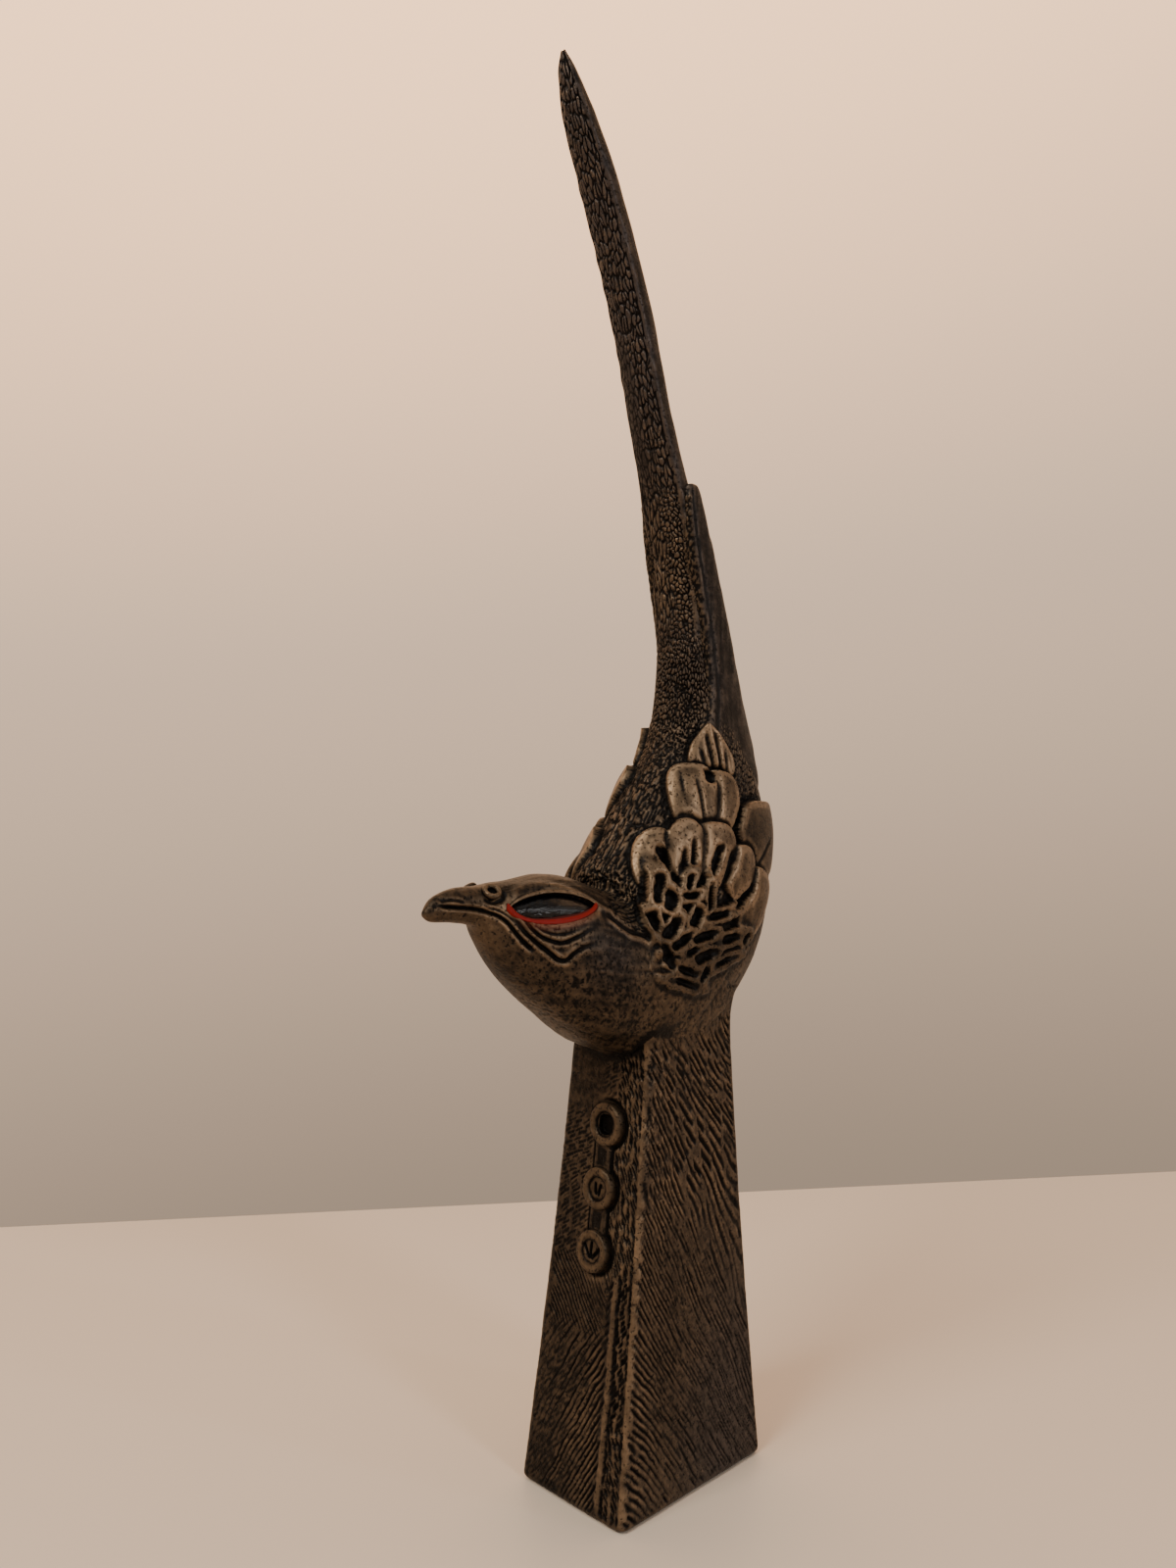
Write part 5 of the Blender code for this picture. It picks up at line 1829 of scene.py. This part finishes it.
        points = middle + u[..., None] * np.array([1.0, 0, 0]) + v[..., None] * lean
        grid = Grid(points + lift[..., None] * out)
        on_rim = 0.65 * bell(r - radius + rim, 0.7 * rim) - 0.1
        proud = np.where(inner, np.clip((lift - floor) / (0.35 * MM), -1, 0.2), on_rim)
        moat = bell(r - radius + 2 * rim, 0.35 * MM)
        # Painted shade: the hole and the grooves are coloured near black.
        return grid.part(proud=proud - 0.8 * moat, rub=0.10 - 1.6 * dark)


@dataclass
class HeadFittings:
    """The eyes, their lids and the nostrils."""

    bird: BirdForm
    skin: Skin
    eye: EyeForm
    nostril_forward: float = 0.2475
    nostril_across: float = 0.0138
    nostril_radius: float = 1.88 * MM
    nostril_rim: float = 0.66 * MM

    def over_skin(self, side: Side, back: Array, up: Array, lift: Array) -> Array:
        """Points at a lift over the curved skin.

        Args:
            side: Which eye.
            back, up: Where they are in the eye's frame.
            lift: Metres over the skin.

        Returns:
            The points.
        """
        middle, to_back, to_up, out = self.eye.frame(self.bird, self.skin, side)
        flat = middle + back[..., None] * to_back + up[..., None] * to_up
        base, _ = self.skin.hit(flat + out * 12 * MM, np.broadcast_to(-out, flat.shape))
        return base + out * lift[..., None]

    def glass(self, side: Side) -> Part:
        """One eye: an almond dome with its back sunk in the head.

        Args:
            side: Which eye.

        Returns:
            Its part.
        """
        half = self.eye.length * self.bird.height / 2
        turn = np.linspace(0, math.tau, 97)[:-1]
        scale = np.concatenate([[1.0], np.linspace(1.0, 0.03, 26)])
        s, a = np.meshgrid(scale, turn, indexing="ij")
        back = half * np.cos(a) * s
        up = self.eye.opening * self.bird.height / 2 * power(np.sin(a), self.eye.sharpness) * s
        lift = self.eye.bulge * (1 - s ** 2) - self.eye.rim_below_skin
        lift = lift + 0.05 * MM * wavy(back, up, 2.2 * MM, 1.2 * MM, 201)
        lift[0] = -self.eye.rim_below_skin - 1.6 * MM
        return Grid(self.over_skin(side, back, up, lift)).part()

    def lid(self, side: Side, upper: bool) -> Part:
        """A lid: a rounded band along the upper or lower edge of the eye.

        Args:
            side: Which eye.
            upper: The bronze upper lid, and otherwise the painted lower one.

        Returns:
            A closed band that tapers to both corners.
        """
        half = self.eye.length * self.bird.height / 2
        share = np.linspace(0, 1, 120)
        line = -half * np.cos(math.pi * share) * 1.03
        edge = self.eye.edge(self.bird, np.clip(line, -half, half))
        swell = np.sin(math.pi * share) ** 0.75
        corners = bell(share - 0.10, 0.10) + bell(share - 0.90, 0.08)
        if upper:
            low, high = edge - 0.30 * MM * swell, edge + 0.75 * MM * swell + 0.12 * MM
            thick = 0.5 * MM * (0.35 + 0.65 * swell)
        else:
            body = np.clip(np.sin(math.pi * share), 0, 1) ** 0.5
            uneven = noise(np.stack([share * 9, 0 * share], -1), 204)
            width = self.eye.lid_width * body * (0.92 + 0.16 * uneven)
            width = width + MM * (1.20 * bell(share - 0.11, 0.07) - 0.35 * bell(share - 0.30, 0.12))
            width = width + 0.70 * MM * bell(share - 0.90, 0.05)
            low = -edge - MM * (0.55 * body + 0.45 * bell(share - 0.11, 0.08))
            high = -edge + width
            thick = self.eye.lid_proud * (0.35 + 0.65 * swell) + 0.30 * MM * corners
        ring = np.linspace(0, math.tau, 25)[:-1]
        across = (low + high)[:, None] / 2 + (high - low)[:, None] / 2 * np.cos(ring)
        front = thick[:, None] * power(np.sin(ring), 0.7)
        lift = np.where(np.sin(ring) > 0, front, 1.6 * MM * np.sin(ring))
        if not upper:
            sink = (swell * (1 - np.minimum(corners, 1)))[:, None] * (np.cos(ring) + 1) / 2
            lift = lift - 0.45 * MM * sink
        back = np.broadcast_to(line[:, None], across.shape)
        wave = 0.06 * MM * wavy(back, ring, 1.5 * MM, 1.0, 203)
        grid = Grid(self.over_skin(side, back, across, lift + wave))
        return grid.part(proud=np.where(lift > 0, 0.2 + 0.6 * np.sin(ring), -0.8), rub=0.15)

    def nostril(self, side: Side) -> Part:
        """A ring half sunk in the root of the beak, turned a little to the side.

        Args:
            side: Which nostril.

        Returns:
            Its part, with the painted shade on the floor of the hole.
        """
        target = self.bird.place(np.array(side.value * self.nostril_across),
                                 np.array(self.nostril_forward), np.array(0.150))
        way = np.array([side.value * 0.62, -0.18, 0.76])
        way /= np.linalg.norm(way)
        point, _ = self.skin.hit((target + way * 0.03)[None], -way[None])
        east = np.cross([0.0, -1.0, 0.0], way)
        east /= np.linalg.norm(east)
        north = np.cross(way, east)
        around, ring = np.meshgrid(
            np.linspace(0, math.tau, 65)[:-1], np.linspace(0, math.tau, 25)[:-1], indexing="ij")
        uneven = noise(np.stack([np.cos(around), np.sin(around)], -1) * 1.5, 205)
        rim = self.nostril_rim * (1 + 0.10 * uneven)
        distance = self.nostril_radius + rim * np.cos(ring)
        lift = 0.64 * MM + rim * np.sin(ring)
        flat = np.cos(around)[..., None] * east + np.sin(around)[..., None] * north
        points = point[0] + flat * distance[..., None] + way * lift[..., None]
        index = np.arange(around.size).reshape(around.shape)
        quads = np.stack([index, np.roll(index, -1, 1), np.roll(np.roll(index, -1, 0), -1, 1),
                          np.roll(index, -1, 0)], -1).reshape(-1, 4)
        fields = {name: np.zeros(around.size) for name in NO_FIELDS}
        fields.update(proud=(0.1 + 0.7 * np.sin(ring)).ravel(), rub=np.full(around.size, 0.05))
        torus = Part(points.reshape(-1, 3), [tuple(face) for face in quads.tolist()], fields)
        return Part.joined([torus.turned_out(), self.painted_shade_floor(point[0], east, north, way)])

    def painted_shade_floor(self, middle: Array, east: Array, north: Array, way: Array) -> Part:
        """A dark disc at the bottom of a nostril's hole: painted shade.

        Args:
            middle: The hole's middle on the skin.
            east, north, way: Unit vectors along the skin and out of it.

        Returns:
            Its part.
        """
        radius, turn = np.meshgrid(
            [1.0, 1.0, 0.6, 0.02], np.linspace(0, math.tau, 41)[:-1], indexing="ij")
        lift = np.array([-1.4, 0.30, 0.18, 0.15])[:, None] * MM + 0 * turn
        radius = radius * self.nostril_radius
        to_east, to_north = radius * np.cos(turn), radius * np.sin(turn)
        points = middle + to_east[..., None] * east + to_north[..., None] * north
        # Painted shade: the floor is coloured as a deep recess.
        return Grid(points + lift[..., None] * way).part(proud=-1.0, rub=-0.8)


@dataclass(frozen=True)
class Studio:
    """The pale table, the soft light and the camera at the photograph's place."""

    azimuth: float = 40.8
    distance: float = 0.339
    eye_height: float = 0.179
    pitch_up: float = 3.03
    yaw: float = -3.57
    roll: float = 1.44
    focal_pixels: float = 1155.0
    frame_pixels: tuple[int, int] = (1200, 1600)
    table_edge_pixels: tuple[tuple[int, int], ...] = ((0, 1252), (1200, 1195))
    table: tuple[float, float, float] = (0.66, 0.58, 0.495)
    wall_low: tuple[float, float, float] = (0.36, 0.27, 0.20)
    wall_middle: tuple[float, float, float] = (1.02, 0.72, 0.50)
    wall_high: tuple[float, float, float] = (3.0, 1.75, 0.95)
    room: tuple[float, float, float] = (0.22, 0.19, 0.16)

    def axes(self) -> tuple[Vector, Vector, Vector, Vector]:
        """The camera's place, and unit vectors forward, right and up."""
        a = math.radians(self.azimuth)
        place = Vector((self.distance * math.sin(a), -self.distance * math.cos(a), self.eye_height))
        forward, right = Vector((-math.sin(a), math.cos(a), 0)), Vector((math.cos(a), math.sin(a), 0))
        up = Vector((0, 0, 1))
        y, t, r = math.radians(self.yaw), -math.radians(self.pitch_up), math.radians(self.roll)
        forward, right = (forward * math.cos(y) + right * math.sin(y),
                          right * math.cos(y) - forward * math.sin(y))
        forward, up = (forward * math.cos(t) - up * math.sin(t),
                       up * math.cos(t) + forward * math.sin(t))
        right, up = right * math.cos(r) + up * math.sin(r), up * math.cos(r) - right * math.sin(r)
        return place, forward, right, up

    def camera(self) -> bpy.types.Object:
        """Make the camera and set it as the scene's."""
        data = bpy.data.cameras.new("photograph")
        data.sensor_width = 36.0
        data.lens = 36.0 * self.focal_pixels / self.frame_pixels[1]
        data.clip_start = 0.01
        data.dof.use_dof = False
        made = bpy.data.objects.new("photograph", data)
        place, forward, right, up = self.axes()
        matrix = Matrix((right, up, -forward)).transposed().to_4x4()
        matrix.translation = place
        made.matrix_world = matrix
        bpy.context.scene.collection.objects.link(made)
        bpy.context.scene.camera = made
        return made

    def on_table(self, pixel: tuple[int, int]) -> Vector:
        """Where a pixel of the photograph falls on the table.

        Args:
            pixel: Its column and row.

        Returns:
            The place.
        """
        place, forward, right, up = self.axes()
        ray = forward + right * ((pixel[0] - self.frame_pixels[0] / 2) / self.focal_pixels) - up * (
            (pixel[1] - self.frame_pixels[1] / 2) / self.focal_pixels)
        return place - ray * (place.z / ray.z)

    def floor(self) -> bpy.types.Object:
        """The table top: its rear edge lies where the photograph shows it."""
        left, right = (self.on_table(pixel) for pixel in self.table_edge_pixels)
        along = (right - left).normalized()
        near = Vector((along.y, -along.x, 0))
        if near.dot(self.axes()[0]) < 0:
            near = -near
        middle = (left + right) / 2
        low, thick = Vector((0, 0, -0.0002)), Vector((0, 0, -0.03))
        spots = ((-2.5, 0), (2.5, 0), (2.5, 4), (-2.5, 4))
        corners = [middle + along * x + near * y + low for x, y in spots]
        places = corners + [corner + thick for corner in corners]
        faces = [(0, 3, 2, 1), (4, 5, 6, 7), (0, 1, 5, 4), (1, 2, 6, 5), (2, 3, 7, 6), (3, 0, 4, 7)]
        mesh = bpy.data.meshes.new("table_top")
        mesh.from_pydata([tuple(place) for place in places], [], faces)
        made = bpy.data.objects.new("table_top", mesh)
        bpy.context.scene.collection.objects.link(made)
        finish, n, shader = new_finish("pale table")
        n.feed(shader, Base_Color=(*self.table, 1), Roughness=0.42, Specular_IOR_Level=0.3)
        mesh.materials.append(finish)
        return made

    def world(self) -> None:
        """A plain pale wall colour, brighter and warmer above, and a dimmer room behind the viewer."""
        made = bpy.data.worlds.new("studio")
        bpy.context.scene.world = made
        made.use_nodes = True
        n = Nodes(made.node_tree)
        _, forward, right, _ = self.axes()
        way = n.add("TexCoord").outputs["Generated"]
        rise = n.add("VectorMath", {"operation": "DOT_PRODUCT"}, i0=way,
                     i1=tuple(Vector((0, 0, 1)) - right * 0.15)).outputs["Value"]
        ahead = n.add("VectorMath", {"operation": "DOT_PRODUCT"}, i0=way,
                      i1=tuple(forward)).outputs["Value"]
        low = n.ramp(rise, -0.40, 0.34)
        high = n.ramp(rise, 0.16, 0.80)
        colour = n.mix(low, (*self.wall_low, 1), (*self.wall_middle, 1))
        colour = n.mix(high, colour, (*self.wall_high, 1))
        colour = n.mix(n.ramp(ahead, -0.30, 0.50), (*self.room, 1), colour)
        colour = n.mix(n.ramp(rise, 0.62, 0.92), colour, (*self.room, 1))
        back = made.node_tree.nodes["Background"]
        made.node_tree.links.new(colour, back.inputs["Color"])
        back.inputs["Strength"].default_value = 1.0

    def lamp(self, name: str, azimuth: float, elevation: float, away: float, size: float,
             power_: float, colour: tuple[float, float, float]) -> None:
        """Hang one soft square lamp that points at the bird.

        Args:
            name: Its name.
            azimuth, elevation: Its direction in degrees, azimuth 0 in front of the bird.
            away: Its distance from the bird.
            size: The square's side.
            power_: Its power in watts.
            colour: Its colour.
        """
        data = bpy.data.lights.new(name, "AREA")
        data.energy, data.size, data.color = power_, size, colour
        a, e = math.radians(azimuth), math.radians(elevation)
        out = Vector((math.sin(a) * math.cos(e), -math.cos(a) * math.cos(e), math.sin(e)))
        made = bpy.data.objects.new(name, data)
        made.location = Vector((0, 0, 0.2)) + out * away
        made.rotation_mode = "QUATERNION"
        made.rotation_quaternion = (-out).to_track_quat("-Z", "Y")
        bpy.context.scene.collection.objects.link(made)

    def lights(self) -> None:
        """A warm key from the front, a weak fill, a top light and a small window for the eye."""
        self.lamp("key", 2, 40, 1.3, 0.5, 12.5, (1.0, 0.92, 0.80))
        self.lamp("fill", 84, 22, 1.5, 0.24, 6, (1.0, 0.97, 0.95))
        self.lamp("top", 40, 70, 1.5, 1.0, 2.5, (1.0, 0.95, 0.88))
        self.lamp("window", 112, 8, 1.5, 0.07, 2.6, (1.0, 1.0, 1.0))


def main() -> None:
    """Build the casting's pieces, the eyes and the studio."""
    logging.basicConfig(level=logging.INFO, format="%(name)s: %(message)s")
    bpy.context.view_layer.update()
    bird, column_form, eye = BirdForm(), ColumnForm(), EyeForm()
    plain, _, _ = bird.even_grid(0.0, bird.last, 1.0 * MM, 110)
    skin = Skin([plain])

    patina = Patina().build()
    bronze = BronzeFinish("bronze", 0.0, 0.0).build(patina)
    face_bronze = BronzeFinish("bronze of the head", -0.04, 0.06, paint=True).build(patina)
    glass, paint = GlassFinish().build(), LidPaint().build()

    shop = Workshop()
    for name, part in BirdBody(bird, column_form, skin, eye, Plumage(bird)).parts().items():
        shop.piece(name, part, face_bronze if name == "head" else bronze, "bronze", CASTING)
    wings = Wings(bird)
    for side in Side:
        shop.piece("long_wing_feathers_" + side.word, wings.part(side), bronze, "bronze", CASTING)
    column = Column(column_form, skin)
    for name, part in column.parts().items():
        shop.piece(name, part, bronze, "bronze", CASTING)
    for number, trinket in enumerate(column.trinkets, 1):
        shop.piece(f"trinket_{number}", column.disc(trinket), bronze, "bronze", CASTING)
    fittings = HeadFittings(bird, skin, eye)
    for side in Side:
        shop.piece("nostril_" + side.word, fittings.nostril(side), bronze, "bronze", CASTING)
        shop.piece("upper_lid_" + side.word, fittings.lid(side, True), bronze, "bronze", CASTING)
        shop.piece("lower_lid_" + side.word, fittings.lid(side, False), paint, "bronze", CASTING)
        shop.piece("eye_glass_" + side.word, fittings.glass(side), glass, "eye", "eye_" + side.word)
    shop.shade_crevices(2.8 * MM, ((0, 1), (42, 3), (70, 3)))

    studio = Studio()
    studio.camera()
    studio.floor()
    studio.world()
    studio.lights()
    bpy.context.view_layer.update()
    log.info("%d pieces", len(shop.pieces))


if __name__ == "__main__":
    main()
